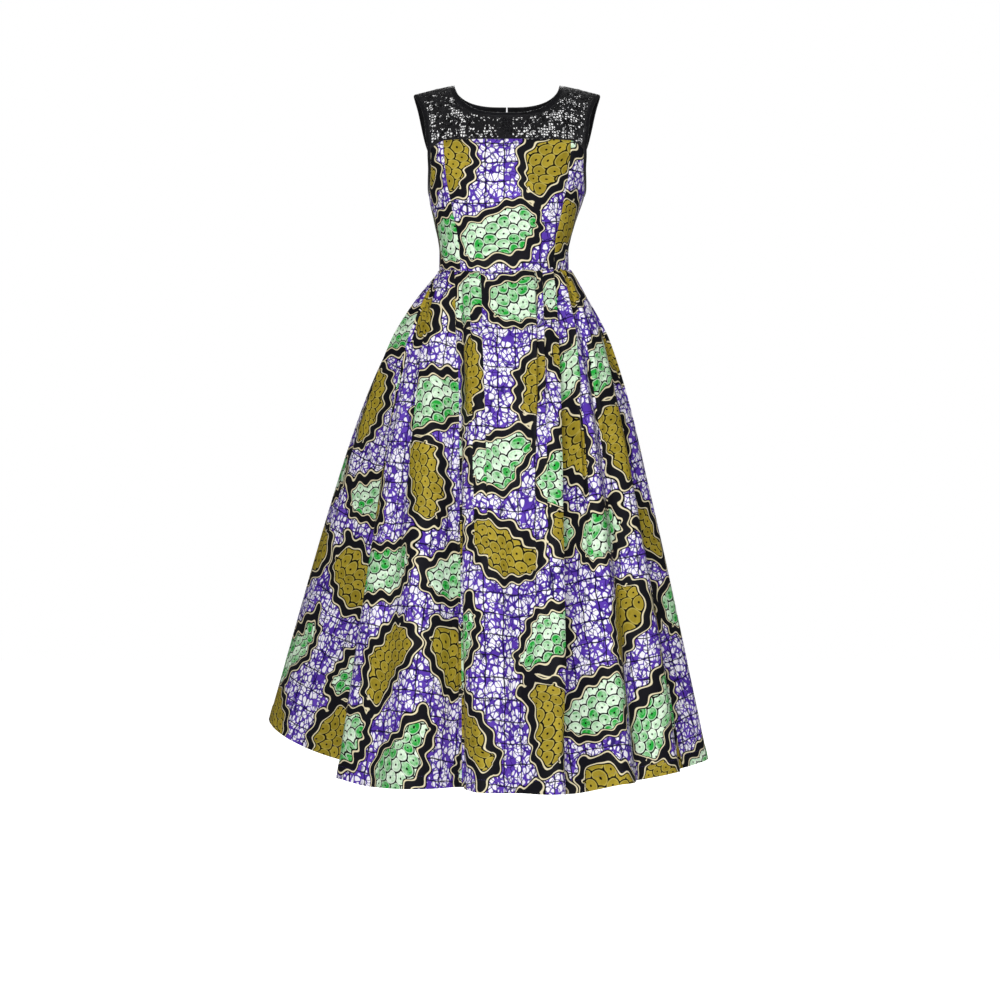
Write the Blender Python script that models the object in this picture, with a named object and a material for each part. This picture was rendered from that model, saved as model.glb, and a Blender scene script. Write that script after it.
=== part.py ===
"""Sleeveless wax print midi dress with a lace yoke, standing open as it does when it is worn.

The dress faces -Y, +X is the viewer's right and +Z is up. The origin lies midway between the two shoulder
seams, where a wearer's shoulders carry the dress. All sizes below are in millimetres.
"""

import math

import bpy
import numpy as np
from mathutils import Vector
from mathutils.geometry import delaunay_2d_cdt

MM = 0.001
SEAM_GAP = 0.3
COTTON = 1.5
LACE = 1.3
BINDING = 2.3
TAPE = 1.2

# Torso
NECK_HALF = 86.0
SHOULDER_TIP = 151.0
SHOULDER_SLOPE = 0.27
RIDGE_TOP = 4.0
RIDGE_BLEND = 30.0
CROWN_DROP = 110.0
TURN_SCALE = 95.0
SECTION_POWER = 2.5
TORSO_HEART = np.array([0.0, 0.0, -250.0])
WAIST_Z = -305.0
WAIST_DIP = 9.0
TORSO_COLUMNS = ("height", "half_width", "front", "back", "shift")
TORSO = (
    (-305, 106.5, 82, 75, -5.0),
    (-274, 106.0, 87, 76, -5.0),
    (-254, 109.0, 94, 78, -4.5),
    (-234, 114.0, 103, 80, -4.0),
    (-215, 119.0, 111, 83, -3.0),
    (-195, 125.0, 118, 87, -1.5),
    (-175, 129.5, 120, 90, 0.0),
    (-150, 138.0, 115, 93, 0.0),
    (-120, 150.0, 107, 94, 0.0),
    (-86, 157.0, 94, 92, 0.0),
    (-60, 158.0, 82, 88, 0.0),
    (-30, 158.0, 74, 82, 0.0),
    (20, 158.0, 70, 78, 0.0),
)

# Yoke, necklines and armholes
FRONT_NECK_DROP = 56.0
BACK_NECK_DROP = 25.0
NECK_POWER = 3.0
NECK_BINDING = 8.0
ARMHOLE_BINDING = 7.0
ARMHOLE_MIDDLE = -112.0
ARMHOLE_BOTTOM = -175.0
ARMHOLE_REACH = {"front": 68.0, "back": 62.0}
ARMHOLE_TOP_POWER = 1.3
ARMHOLE_BOTTOM_POWER = 2.2
ARMHOLE_POINTS = 20
ARMHOLE_CENTRE_X = 140.0
ARMHOLE_ROUND_OVER = 12.0
INSIDE_ARMHOLE_X = 60.0
NECK_POINTS = 27
YOKE_SEAM = {"front": -103.0, "back": -98.0}
YOKE_CORNER = {"front": -115.0, "back": -119.0}
BODICE_ROWS = 11
FRONT_COLUMNS = 15
BACK_COLUMNS = 7
SIDE_PANEL_WIDTH = 90.0
PRINCESS_COLUMNS = ("height", "front", "back")
PRINCESS = (
    (-305, 76, 64),
    (-260, 80, 68),
    (-215, 89, 76),
    (-175, 97, 84),
    (-130, 102, 91),
    (-87, 104, 95),
)

# Lace gaps: each sprig has petal gaps around a solid heart, and is turned a little more than the one before
SPRIG_PITCH = 25.0
SPRIG_START = 7.0
SPRIG_TURN = 0.6
SPRIG_PETALS = 4
SPRIG_RADIUS = 5.9
PETAL_LENGTH = 6.6
PETAL_WIDTH = 5.2
SPRIG_CLEARANCE = 10.8
PETAL_KITE = ((0.5, 0), (0.08, 0.5), (-0.5, 0), (0.08, -0.5))
LACE_GRID = 17.0
GRID_TO_EDGE = 0.45
GRID_TO_GAP = 0.2
STAGGER = 0.866

# Skirt
FLARE_KICK = 0.27
FLARE_KICK_DEPTH = 0.14
SKIRT_ROWS = (0, 0.03, 0.07, 0.12, 0.18, 0.26, 0.36, 0.48, 0.61, 0.74, 0.87, 1.0)
FOLD_COLUMNS = ("waist_angle", "hem_angle", "hem_radius", "length")
FOLDS = (
    (-180, -180, 262, 846),
    (-160, -163, 322, 848),
    (-144, -150, 276, 842),
    (-130, -137, 334, 836),
    (-108, -116, 446, 831),
    (-88, -77, 236, 824),
    (-77, -62, 303, 847),
    (-66, -48, 289, 851),
    (-56, -34, 294, 852),
    (-45, -19.5, 222, 840),
    (-22, -8, 266, 851),
    (3, 4, 244, 848),
    (37, 16.5, 280, 856),
    (49, 24, 236, 852),
    (58, 37, 304, 848),
    (67, 50, 272, 840),
    (77, 63, 305, 840),
    (87, 77, 262, 840),
    (99, 95, 335, 846),
    (114, 113, 282, 846),
    (129, 132, 346, 850),
    (145, 149, 272, 846),
    (160, 164, 324, 850),
    (180, 180, 262, 846),
)
PLEAT_COLUMNS = ("waist_angle", "faces")
PLEATS = (
    (-163, -1), (-149, 1), (-133, -1), (-117, 1), (-101, -1), (-80, 1),
    (-63, -1), (-28, 1), (-15, -1), (19, 1), (32, -1), (54, 1),
    (68, -1), (84, 1), (101, -1), (117, 1), (133, -1), (149, 1), (163, -1),
)
PLEAT_DEPTH_AT_WAIST = 1.2
PLEAT_DEPTH = 8.0
PLEAT_PEAK = 0.13
PLEAT_END = 0.62
PLEAT_SPAN = 9.0
PLEAT_LIP = 2.2
PLEAT_RISE_AT = 0.45
COLUMN_GAP = 1.3
GORES = (
    ("skirt_back_left", -180, -141),
    ("skirt_side_back_left", -141, -92),
    ("skirt_side_front_left", -92, -45),
    ("skirt_front", -45, 46),
    ("skirt_side_front_right", 46, 92),
    ("skirt_side_back_right", 92, 141),
    ("skirt_back_right", 141, 180),
)

# Back zip
ZIP_BELOW_WAIST = 0.2
TAPE_GAP = 0.5
TAPE_WIDTH = 20.0
ZIP_MOUTH = 1.05
ZIP_MOUTH_LENGTH = 30.0
SLIDER_BELOW_BINDING = 11.0
SLIDER_SIZE = (6.0, 12.0, 1.6)
SLIDER_NECK = (1.0, 6.0)
BRIDGE_THICKNESS = 1.0
BRIDGE_HOLE = 1.2
BRIDGE_RING = 2.1
BRIDGE_SUNK = 0.35
PULL_BAR = 0.6
PULL_THICKNESS = 1.0
PULL_WIDTH = 7.0
PULL_NECK = 4.4
PULL_LENGTH = 22.0
PULL_STRAIGHT = 0.72
PULL_ROUND = 0.2
PULL_SLOT = (2.6, 3.4)
PULL_LEAN = 8.0


def material(name, colour, roughness, metallic=0.0):
    made = bpy.data.materials.new(name)
    made.use_nodes = True
    shader = made.node_tree.nodes["Principled BSDF"]
    shader.inputs["Base Color"].default_value = (*colour, 1)
    shader.inputs["Roughness"].default_value = roughness
    shader.inputs["Metallic"].default_value = metallic
    return made


def smooth_curve(heights, values):
    """A function that runs smoothly through the rows of a table and doesn't overshoot them."""
    xs, ys = np.asarray(heights, float), np.asarray(values, float)
    width = np.diff(xs)
    slope = np.diff(ys) / width
    before, after = slope[:-1], slope[1:]
    same_way = before * after > 0
    total = np.where(same_way, before + after, 1.0)
    inner = np.where(same_way, 2 * before * after / total, 0.0)
    tangent = np.concatenate([slope[:1], inner, slope[-1:]])

    def at(x):
        x = np.clip(x, xs[0], xs[-1])
        k = np.clip(np.searchsorted(xs, x, side="right") - 1, 0, len(width) - 1)
        t = (x - xs[k]) / width[k]
        return (
            ys[k] * (1 + 2 * t) * (1 - t) ** 2
            + ys[k + 1] * t * t * (3 - 2 * t)
            + width[k] * t * (1 - t) * (tangent[k] * (1 - t) - tangent[k + 1] * t)
        )

    return at


def column(rows, names, name):
    return [row[names.index(name)] for row in rows]


HEIGHTS = column(TORSO, TORSO_COLUMNS, "height")
half_width = smooth_curve(HEIGHTS, column(TORSO, TORSO_COLUMNS, "half_width"))
sway = smooth_curve(HEIGHTS, column(TORSO, TORSO_COLUMNS, "shift"))
depth = {
    "front": smooth_curve(HEIGHTS, column(TORSO, TORSO_COLUMNS, "front")),
    "back": smooth_curve(HEIGHTS, column(TORSO, TORSO_COLUMNS, "back")),
}
OUT = {"front": -1.0, "back": 1.0}
SEAM_HEIGHTS = column(PRINCESS, PRINCESS_COLUMNS, "height")
princess = {
    "front": smooth_curve(SEAM_HEIGHTS, column(PRINCESS, PRINCESS_COLUMNS, "front")),
    "back": smooth_curve(SEAM_HEIGHTS, column(PRINCESS, PRINCESS_COLUMNS, "back")),
}


def ridge(x):
    """Height of the shoulder line, which falls from the neck to the shoulder tip."""
    beyond = np.abs(x) - NECK_HALF
    return RIDGE_TOP - SHOULDER_SLOPE * 0.5 * (beyond + np.hypot(beyond, RIDGE_BLEND))


def across(x, z):
    """How full a torso section is at x: 1 at its middle and 0 at its side."""
    share = np.minimum(np.abs((x - sway(z)) / half_width(z)), 1.0)
    return (1 - share**SECTION_POWER) ** (1 / SECTION_POWER)


def torso_depth(side, x, z):
    """Distance of the cloth from the shoulder plane, measured forwards or backwards."""
    rise = np.clip((ridge(x) - z) / CROWN_DROP, 0, 1)
    crown = np.sqrt(1 - (1 - rise) ** 2)
    return depth[side](z) * across(x, z) * crown


def torso_point(side, x, z):
    x, z = np.broadcast_arrays(np.asarray(x, float), np.asarray(z, float))
    return np.stack([x, OUT[side] * torso_depth(side, x, z), z], axis=-1)


def yoke_point(side, x, turn):
    """The same surface over the shoulder: turn is 0 on the shoulder line and grows down the chest or back."""
    x, turn = np.broadcast_arrays(np.asarray(x, float), np.asarray(turn, float))
    z = ridge(x) - CROWN_DROP * (1 - np.cos(turn))
    y = OUT[side] * depth[side](z) * across(x, z) * np.sin(turn)
    return np.stack([x, y, z], axis=-1)


def turn_at(x, z):
    return np.arccos(np.clip(1 - (ridge(x) - z) / CROWN_DROP, -1, 1))


def turn_of(side, points):
    """The turn of points that lie on the torso's surface or close to it."""
    x, y, z = points.T
    sine = np.abs(y) / (depth[side](z) * across(x, z))
    return np.arctan2(sine, 1 - (ridge(x) - z) / CROWN_DROP)


def section(side, hand, z):
    """Points of a half section from the centre line to the side seam, and the share of its length at each."""
    angle = np.linspace(0, math.pi / 2, 121)
    x = sway(z) + hand * half_width(z) * np.sin(angle) ** (2 / SECTION_POWER)
    points = torso_point(side, x, z)
    steps = np.linalg.norm(np.diff(points, axis=0), axis=1)
    length = np.concatenate([[0], np.cumsum(steps)])
    return points, length / length[-1]


def side_point(side, hand, share, z):
    """A point of the torso by its share of the way from the centre line to the side seam."""
    share, z = np.broadcast_arrays(np.asarray(share, float), np.asarray(z, float))
    flat = []
    for s, height in zip(share.ravel(), z.ravel()):
        points, along = section(side, hand, height)
        flat.append([np.interp(s, along, points[:, k]) for k in range(3)])
    return np.array(flat).reshape(*share.shape, 3)


def share_at_x(side, hand, x, z):
    points, along = section(side, hand, z)
    return float(np.interp(hand * x, hand * points[:, 0], along))


def share_of(side, hand, point):
    """The share of the half section at a point that lies on the torso's surface or close to it."""
    x, y, z = point
    middle = torso_depth(side, sway(z), z)
    aside = (abs(x - sway(z)) / half_width(z)) ** (SECTION_POWER / 2)
    ahead = (abs(y) / middle) ** (SECTION_POWER / 2)
    angle = math.atan2(aside, ahead)
    _, along = section(side, hand, z)
    return float(np.interp(angle, np.linspace(0, math.pi / 2, len(along)), along))


def outward_normals(surface, a, b, step_a, step_b):
    """Unit normals of surface(a, b), pointing away from the inside of the torso."""
    along_a = surface(a + step_a, b) - surface(a - step_a, b)
    along_b = surface(a, b + step_b) - surface(a, b - step_b)
    normal = np.cross(along_a, along_b)
    normal /= np.linalg.norm(normal, axis=-1, keepdims=True)
    outward = ((surface(a, b) - TORSO_HEART) * normal).sum(-1, keepdims=True)
    return normal * np.sign(outward)


def level(normals):
    """The same directions laid level, so that walls meet squarely at the waist seam."""
    flat = normals * (1, 1, 0)
    return flat / np.linalg.norm(flat, axis=-1, keepdims=True)


def make_object(name, points, faces, look, smooth_angle=50):
    mesh = bpy.data.meshes.new(name)
    mesh.from_pydata([Vector(p) * MM for p in points], [], faces)
    mesh.validate()
    mesh.shade_smooth()
    mesh.set_sharp_from_angle(angle=math.radians(smooth_angle))
    mesh.materials.append(look)
    made = bpy.data.objects.new(name, mesh)
    bpy.context.scene.collection.objects.link(made)
    return made


def make_wall(name, points, normals, faces, thickness, look):
    """A closed cloth wall: the faces moved out and in by half the thickness, with a rim round every edge."""
    points, normals = points.reshape(-1, 3), normals.reshape(-1, 3)
    first, second, third = (points[[f[k] for f in faces]] for k in range(3))
    facing = np.cross(second - first, third - first) * normals[[f[0] for f in faces]]
    if facing.sum() < 0:
        faces = [tuple(reversed(f)) for f in faces]
    count = len(points)
    directed = {edge for f in faces for edge in zip(f, f[1:] + f[:1])}
    rim = [(j, i, count + i, count + j) for i, j in sorted(directed) if (j, i) not in directed]
    lining = [tuple(count + i for i in reversed(f)) for f in faces]
    both = np.concatenate([points + normals * thickness / 2, points - normals * thickness / 2])
    return make_object(name, both, list(faces) + lining + rim, look)


def grid_faces(rows, columns, closed=False):
    """Triangles over a grid of points, so that both sides of a wall are split the same way."""
    faces = []
    for r in range(rows - 1):
        for c in range(columns if closed else columns - 1):
            right = (c + 1) % columns
            above, below = r * columns, (r + 1) * columns
            faces.append((above + c, above + right, below + right))
            faces.append((above + c, below + right, below + c))
    return faces


def armhole_edge(side, hand, share):
    """The armhole's edge, from the shoulder tip at share 0 to the underarm at share 1."""
    angle = np.asarray(share, float) * math.pi
    top = np.cos(angle) >= 0
    power = 2 / np.where(top, ARMHOLE_TOP_POWER, ARMHOLE_BOTTOM_POWER)
    tip = float(ridge(SHOULDER_TIP))
    reach = np.where(top, tip - ARMHOLE_MIDDLE, ARMHOLE_MIDDLE - ARMHOLE_BOTTOM)
    z = ARMHOLE_MIDDLE + np.sign(np.cos(angle)) * reach * np.abs(np.cos(angle)) ** power
    away = ARMHOLE_REACH[side] * np.clip(np.sin(angle), 0, 1) ** power
    near, far = np.full_like(z, INSIDE_ARMHOLE_X), half_width(z) + hand * sway(z)
    for _ in range(40):
        middle = (near + far) / 2
        deeper = torso_depth(side, hand * middle, z) > away
        near, far = np.where(deeper, middle, near), np.where(deeper, far, middle)
    return np.stack([hand * (near + far) / 2, OUT[side] * away, z], axis=-1)


def armhole_ring(hand, count):
    """Edge points, surface normals and inward directions round one whole armhole. The normals turn over from
    front to back within ARMHOLE_ROUND_OVER of the shoulder plane."""
    share = (np.arange(count) + 0.5) / count
    front = armhole_edge("front", hand, share)
    back = armhole_edge("back", hand, share[::-1])
    edge = np.concatenate([front, back])
    normal = []
    for x, y, z in edge:
        side = "front" if y < 0 else "back"
        nudge = 0.5
        slope_x = (torso_depth(side, x + nudge, z) - torso_depth(side, x - nudge, z)) / (2 * nudge)
        slope_z = (torso_depth(side, x, z + nudge) - torso_depth(side, x, z - nudge)) / (2 * nudge)
        lean = np.array([-slope_x, OUT[side], -slope_z])
        share = abs(y) / ARMHOLE_ROUND_OVER
        if share < 1:
            flat = np.array([hand, 0, 0]) if z < ARMHOLE_MIDDLE else np.array([hand * SHOULDER_SLOPE, 0, 1])
            lean = lean / np.linalg.norm(lean) * share + flat * (1 - share)
        normal.append(lean / np.linalg.norm(lean))
    normal = np.array(normal)
    tangent = np.roll(edge, -1, axis=0) - np.roll(edge, 1, axis=0)
    inward = np.cross(normal, tangent)
    inward /= np.linalg.norm(inward, axis=1, keepdims=True)
    middle = np.array([hand * ARMHOLE_CENTRE_X, 0, ARMHOLE_MIDDLE])
    inward *= np.sign(((edge - middle) * inward).sum(1, keepdims=True))
    return edge, normal, inward


def on_torso(side, hand, point):
    """The nearby point that lies on the torso's surface itself."""
    if point[2] > YOKE_CORNER[side]:
        return yoke_point(side, point[0], turn_of(side, point[None])[0])
    return side_point(side, hand, share_of(side, hand, point), point[2])


def armhole_line(hand, inset):
    """One whole armhole moved into the cloth by inset, and the surface normals there."""
    edge, normal, inward = armhole_ring(hand, ARMHOLE_POINTS)
    moved = edge + inward * inset
    sides = ["front"] * ARMHOLE_POINTS + ["back"] * ARMHOLE_POINTS
    return np.array([on_torso(side, hand, point) for side, point in zip(sides, moved)]), normal


def armhole_inner_line(side, hand):
    """Where panels stop short of the armhole binding, from the shoulder line down to the side seam."""
    line, _ = armhole_line(hand, ARMHOLE_BINDING + SEAM_GAP)
    top = (line[0] + line[-1]) / 2
    bottom = (line[ARMHOLE_POINTS - 1] + line[ARMHOLE_POINTS]) / 2
    half = line[:ARMHOLE_POINTS] if side == "front" else line[ARMHOLE_POINTS:][::-1]
    return np.concatenate([[top], half, [bottom]])


def neck_turn(side):
    drop = FRONT_NECK_DROP if side == "front" else BACK_NECK_DROP
    return float(turn_at(0.0, -drop))


def neck_line(side, inset, count):
    """(x, turn) along the neckline from the right shoulder to the left, moved into the cloth by inset."""
    angle = np.linspace(0, math.pi, count)
    power = 2 / NECK_POWER
    x = NECK_HALF * np.sign(np.cos(angle)) * np.abs(np.cos(angle)) ** power
    turn = neck_turn(side) * np.sin(angle) ** power
    step = 1e-3
    run_x = (yoke_point(side, x + step, turn) - yoke_point(side, x - step, turn)) / (2 * step)
    run_t = (yoke_point(side, x, turn + step) - yoke_point(side, x, turn - step)) / (2 * step)
    tangent = np.stack([np.gradient(x), np.gradient(turn)], axis=1)
    tangent[0] = tangent[-1] = (0, 1)
    moved = []
    for k in range(count):
        shape = np.stack([run_x[k], run_t[k]], axis=1)
        metric = shape.T @ shape
        sideways = np.linalg.solve(metric, np.array([-tangent[k][1], tangent[k][0]]))
        sideways /= math.sqrt(sideways @ metric @ sideways)
        if sideways @ np.array([x[k], turn[k] + 0.1]) < 0:
            sideways = -sideways
        moved.append([x[k], turn[k]] + sideways * inset)
    return np.array(moved)


def inside(polygon, points):
    """Whether each point lies inside a polygon, by counting crossings."""
    points = np.asarray(points, float)
    hit = np.zeros(len(points), bool)
    for (x0, y0), (x1, y1) in zip(polygon, np.roll(polygon, -1, axis=0)):
        crosses = (y0 > points[:, 1]) != (y1 > points[:, 1])
        slope = (x1 - x0) / (y1 - y0 if y1 != y0 else 1e-12)
        hit ^= crosses & (points[:, 0] < x0 + slope * (points[:, 1] - y0))
    return hit


def distance_to(polygon, points):
    """Distance from each point to the nearest side of a polygon."""
    points = np.asarray(points, float)
    best = np.full(len(points), np.inf)
    for start, end in zip(polygon, np.roll(polygon, -1, axis=0)):
        run = end - start
        t = np.clip((points - start) @ run / max(run @ run, 1e-9), 0, 1)
        best = np.minimum(best, np.linalg.norm(points - start - t[:, None] * run, axis=1))
    return best


def lattice(outline, pitch):
    """Points of a staggered lattice over an outline, symmetric about x = 0."""
    low, high = outline.min(0), outline.max(0)
    rows = int(math.ceil((high[1] - low[1]) / (pitch * STAGGER))) + 1
    reach = int(math.ceil(max(abs(low[0]), abs(high[0])) / pitch)) + 1
    return np.array(
        [
            ((c + 0.5 * (r % 2)) * pitch, low[1] + r * pitch * STAGGER)
            for r in range(rows)
            for c in range(-reach - 1, reach + 1)
        ]
    )


def sprig_gaps(outline):
    """The petal gaps of every lace sprig that fits inside the outline, each a four-sided kite."""
    hearts = lattice(outline, SPRIG_PITCH) + (0, SPRIG_START)
    hearts = hearts[inside(outline, hearts)]
    hearts = hearts[distance_to(outline, hearts) > SPRIG_CLEARANCE]
    gaps = []
    for number, heart in enumerate(hearts):
        for petal in range(SPRIG_PETALS):
            angle = SPRIG_TURN * number + petal * 2 * math.pi / SPRIG_PETALS
            along = np.array([math.cos(angle), math.sin(angle)])
            aside = np.array([-math.sin(angle), math.cos(angle)])
            middle = heart + along * SPRIG_RADIUS
            kite = [middle + along * a * PETAL_LENGTH + aside * b * PETAL_WIDTH for a, b in PETAL_KITE]
            gaps.append(np.array(kite))
    return gaps


def triangulate(outline, gaps, spacing):
    """Triangles over an outline, with the gaps left open."""
    filling = lattice(outline, spacing)
    filling = filling[inside(outline, filling)]
    filling = filling[distance_to(outline, filling) > GRID_TO_EDGE * spacing]
    for gap in gaps:
        filling = filling[~inside(gap, filling)]
        if len(filling):
            filling = filling[distance_to(gap, filling) > GRID_TO_GAP * spacing]
    loops = [outline, *gaps]
    points = [Vector(p) for loop in loops for p in loop] + [Vector(p) for p in filling]
    edges, start = [], 0
    for loop in loops:
        edges += [(start + k, start + (k + 1) % len(loop)) for k in range(len(loop))]
        start += len(loop)
    flat, _, faces, *_ = delaunay_2d_cdt(points, edges, [], 0, 1e-6)
    flat = np.array([tuple(p) for p in flat])
    middles = np.array([flat[list(f)].mean(0) for f in faces])
    keep = inside(outline, middles)
    for gap in gaps:
        keep &= ~inside(gap, middles)
    faces = [tuple(f) for f, kept in zip(faces, keep) if kept]
    used = sorted({i for f in faces for i in f})
    place = {old: new for new, old in enumerate(used)}
    return flat[used], [tuple(place[i] for i in f) for f in faces]


def yoke_seam_line(side, count):
    """(x, z) along the yoke's lower seam from the left armhole to the right one."""
    corner = YOKE_CORNER[side]
    line = armhole_inner_line(side, 1)
    corner_x = float(np.interp(-corner, -line[:, 2], line[:, 0]))
    bend = float(princess[side](YOKE_SEAM[side]))
    x = np.linspace(-bend, bend, count)
    z = np.full(count, YOKE_SEAM[side])
    slant = np.linspace(0, 1, 4)[1:]
    outer_x = bend + (corner_x - bend) * slant
    outer_z = YOKE_SEAM[side] + (corner - YOKE_SEAM[side]) * slant**1.3
    x = np.concatenate([-outer_x[::-1], x, outer_x])
    z = np.concatenate([outer_z[::-1], z, outer_z])
    return x, z


def zip_edge(arc):
    """Half the opening between the back edges, by the distance down from the neck edge."""
    open_share = np.clip(1 - arc / ZIP_MOUTH_LENGTH, 0, 1)
    return SEAM_GAP / 2 + (ZIP_MOUTH - SEAM_GAP / 2) * open_share**0.5


def yoke_outline(side, hand=0):
    """The yoke's cut edge in (x, turn x TURN_SCALE). With a hand, only that half of a split back."""
    inset = NECK_BINDING + SEAM_GAP
    start = SEAM_GAP / 2 / TURN_SCALE
    neck = neck_line(side, inset, NECK_POINTS)
    neck[0, 1] = neck[-1, 1] = start
    seam_x, seam_z = yoke_seam_line(side, 13)
    seam = np.stack([seam_x, turn_at(seam_x, seam_z + SEAM_GAP / 2)], axis=1)
    arm = {}
    for h in (-1, 1):
        line = armhole_inner_line(side, h)
        line = line[line[:, 2] > YOKE_CORNER[side] + SEAM_GAP]
        turns = turn_of(side, line)
        turns[0] = start
        arm[h] = np.stack([line[:, 0], turns], axis=1)
    if hand == 0:
        parts = [neck, arm[-1], seam, arm[1][::-1]]
    else:
        top = neck_turn(side) + inset / TURN_SCALE
        low = float(turn_at(0.0, YOKE_SEAM[side] + SEAM_GAP / 2))
        turns = np.linspace(low, top, 6)
        edge = np.stack([hand * zip_edge((turns - top) * TURN_SCALE), turns], axis=1)
        half_neck = neck[neck[:, 0] * hand > 2 * ZIP_MOUTH]
        half_seam = seam[seam[:, 0] * hand > 2 * ZIP_MOUTH]
        if hand > 0:
            parts = [half_neck[::-1], arm[1], half_seam[::-1], edge]
        else:
            parts = [half_neck, arm[-1], half_seam, edge]
    outline = np.concatenate(parts)
    outline[:, 1] *= TURN_SCALE
    return outline


def make_yoke(name, side, hand, look):
    outline = yoke_outline(side, hand)
    flat, faces = triangulate(outline, sprig_gaps(outline), LACE_GRID)

    def surface(x, scaled_turn):
        return yoke_point(side, x, scaled_turn / TURN_SCALE)

    normals = outward_normals(surface, flat[:, 0], flat[:, 1], 0.2, 0.2)
    make_wall(name, surface(flat[:, 0], flat[:, 1]), normals, faces, LACE, look)


def waist_dip(y):
    """How far below WAIST_Z the waist seam hangs: most at the centre front, nothing from the sides back."""
    return WAIST_DIP * np.clip(-y / depth["front"](WAIST_Z), 0, 1) ** 2


def make_centre_panel(name, side, first, last, columns, look):
    """A bodice panel between the princess seams. first and last give its edges in x by height."""
    share = np.linspace(0, 1, columns)
    at_waist = first(WAIST_Z) + (last(WAIST_Z) - first(WAIST_Z)) * share
    top = YOKE_SEAM[side] - SEAM_GAP / 2
    bottom = WAIST_Z + SEAM_GAP / 2 - waist_dip(torso_point(side, at_waist, WAIST_Z)[:, 1])
    grid_z = top + (bottom - top) * np.linspace(0, 1, BODICE_ROWS)[:, None]
    grid_x = first(grid_z) + (last(grid_z) - first(grid_z)) * share

    def surface(x, z):
        return torso_point(side, x, z)

    normals = outward_normals(surface, grid_x, grid_z, 0.2, 0.2)
    normals[-1] = level(normals[-1])
    make_wall(name, surface(grid_x, grid_z), normals, grid_faces(BODICE_ROWS, columns), COTTON, look)


def make_side_panel(name, side, hand, look):
    """A bodice panel from a princess seam to the side seam, cut away at the armhole."""
    corner = YOKE_CORNER[side]

    def seam_share(z):
        edge = float(princess[side](z)) + SEAM_GAP / 2
        return share_at_x(side, hand, hand * edge, z)

    def place(share, z):
        low = seam_share(z)
        return (share - low) / (1 - low)

    line = armhole_inner_line(side, hand)
    line = line[line[:, 2] < corner]
    arm = np.array([(place(share_of(side, hand, point), point[2]), point[2]) for point in line])
    arm[-1, 0] = 1 - SEAM_GAP / 2 / SIDE_PANEL_WIDTH
    seam_x, seam_z = yoke_seam_line(side, 3)
    slant = [(hand * x, z) for x, z in zip(seam_x, seam_z) if x >= princess[side](z) - 1e-6]
    yoke = np.array([(place(share_at_x(side, hand, x, z), z), z - SEAM_GAP / 2) for x, z in slant])
    yoke[0, 0] = 0
    columns, tops = np.concatenate([yoke, arm[arm[:, 0] > yoke[-1, 0]]]).T
    low = seam_share(WAIST_Z)
    at_waist = side_point(side, hand, low + (1 - low) * columns, WAIST_Z)
    bottom = WAIST_Z + SEAM_GAP / 2 - waist_dip(at_waist[:, 1])
    shares, heights = [], []
    for down in np.linspace(0, 1, BODICE_ROWS):
        z = tops + (bottom - tops) * down
        lows = np.array([seam_share(h) for h in z])
        shares.append(lows + (1 - lows) * columns)
        heights.append(z)
    shares, heights = np.array(shares), np.array(heights)

    def surface(share, z):
        return side_point(side, hand, np.clip(share, 0, 1), z)

    normals = outward_normals(surface, shares, heights, 0.002, 0.3)
    normals[-1] = level(normals[-1])
    faces = grid_faces(len(heights), len(columns))
    make_wall(name, surface(shares, heights), normals, faces, COTTON, look)


def make_neck_binding(name, look):
    """The bound neck edge, open at the back where the zip starts."""
    rows = []
    for inset in (0.0, NECK_BINDING):
        front = neck_line("front", inset, NECK_POINTS)
        back = neck_line("back", inset, NECK_POINTS)
        points, normals = [], []
        for side, line in (("back", back), ("front", front)):

            def surface(x, turn, side=side):
                return yoke_point(side, x, turn)

            at = surface(line[:, 0], line[:, 1])
            lean = outward_normals(surface, line[:, 0], line[:, 1], 0.2, 0.002)
            points.append(at)
            normals.append(lean)
        middle = NECK_POINTS // 2
        right_back = points[0][:middle][::-1]
        left_back = points[0][middle + 1 :][::-1]
        line = np.concatenate([right_back, points[1][1:-1], left_back])
        lean = np.concatenate([normals[0][:middle][::-1], normals[1][1:-1], normals[0][middle + 1 :][::-1]])
        line[0, 0], line[-1, 0] = ZIP_MOUTH, -ZIP_MOUTH
        rows.append((line, lean))
    points = np.array([r[0] for r in rows])
    normals = np.array([r[1] for r in rows])
    make_wall(name, points, normals, grid_faces(2, points.shape[1]), BINDING, look)


def make_armhole_binding(name, hand, look):
    edge, normal = armhole_line(hand, 0.0)
    sewn, _ = armhole_line(hand, ARMHOLE_BINDING)
    faces = grid_faces(2, len(edge), closed=True)
    make_wall(name, np.array([edge, sewn]), np.array([normal, normal]), faces, BINDING, look)


FOLD_ANGLES = column(FOLDS, FOLD_COLUMNS, "waist_angle")


def between_folds(angle, name):
    """A column of FOLDS below a waist angle, eased from each fold to the next."""
    number = np.interp(angle, FOLD_ANGLES, np.arange(len(FOLDS)))
    first = np.minimum(number.astype(int), len(FOLDS) - 2)
    share = 0.5 - 0.5 * np.cos(math.pi * (number - first))
    values = np.array(column(FOLDS, FOLD_COLUMNS, name), float)
    return values[first] * (1 - share) + values[first + 1] * share


def waist_point(angle):
    """The waist seam by angle from the centre front, as the torso section has it."""
    turned = np.radians(angle)
    size = 2 / SECTION_POWER
    x = half_width(WAIST_Z) * np.sign(np.sin(turned)) * np.abs(np.sin(turned)) ** size
    deep = np.where(np.cos(turned) > 0, depth["front"](WAIST_Z), depth["back"](WAIST_Z))
    y = -deep * np.sign(np.cos(turned)) * np.abs(np.cos(turned)) ** size
    return np.stack([sway(WAIST_Z) + x, y], axis=-1)


def flare(down):
    """Share of the outward reach at a share of the drop: quick below the waist, then steady."""
    kick = (1 - np.exp(-down / FLARE_KICK_DEPTH)) / (1 - math.exp(-1 / FLARE_KICK_DEPTH))
    return (1 - FLARE_KICK) * down + FLARE_KICK * kick


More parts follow.
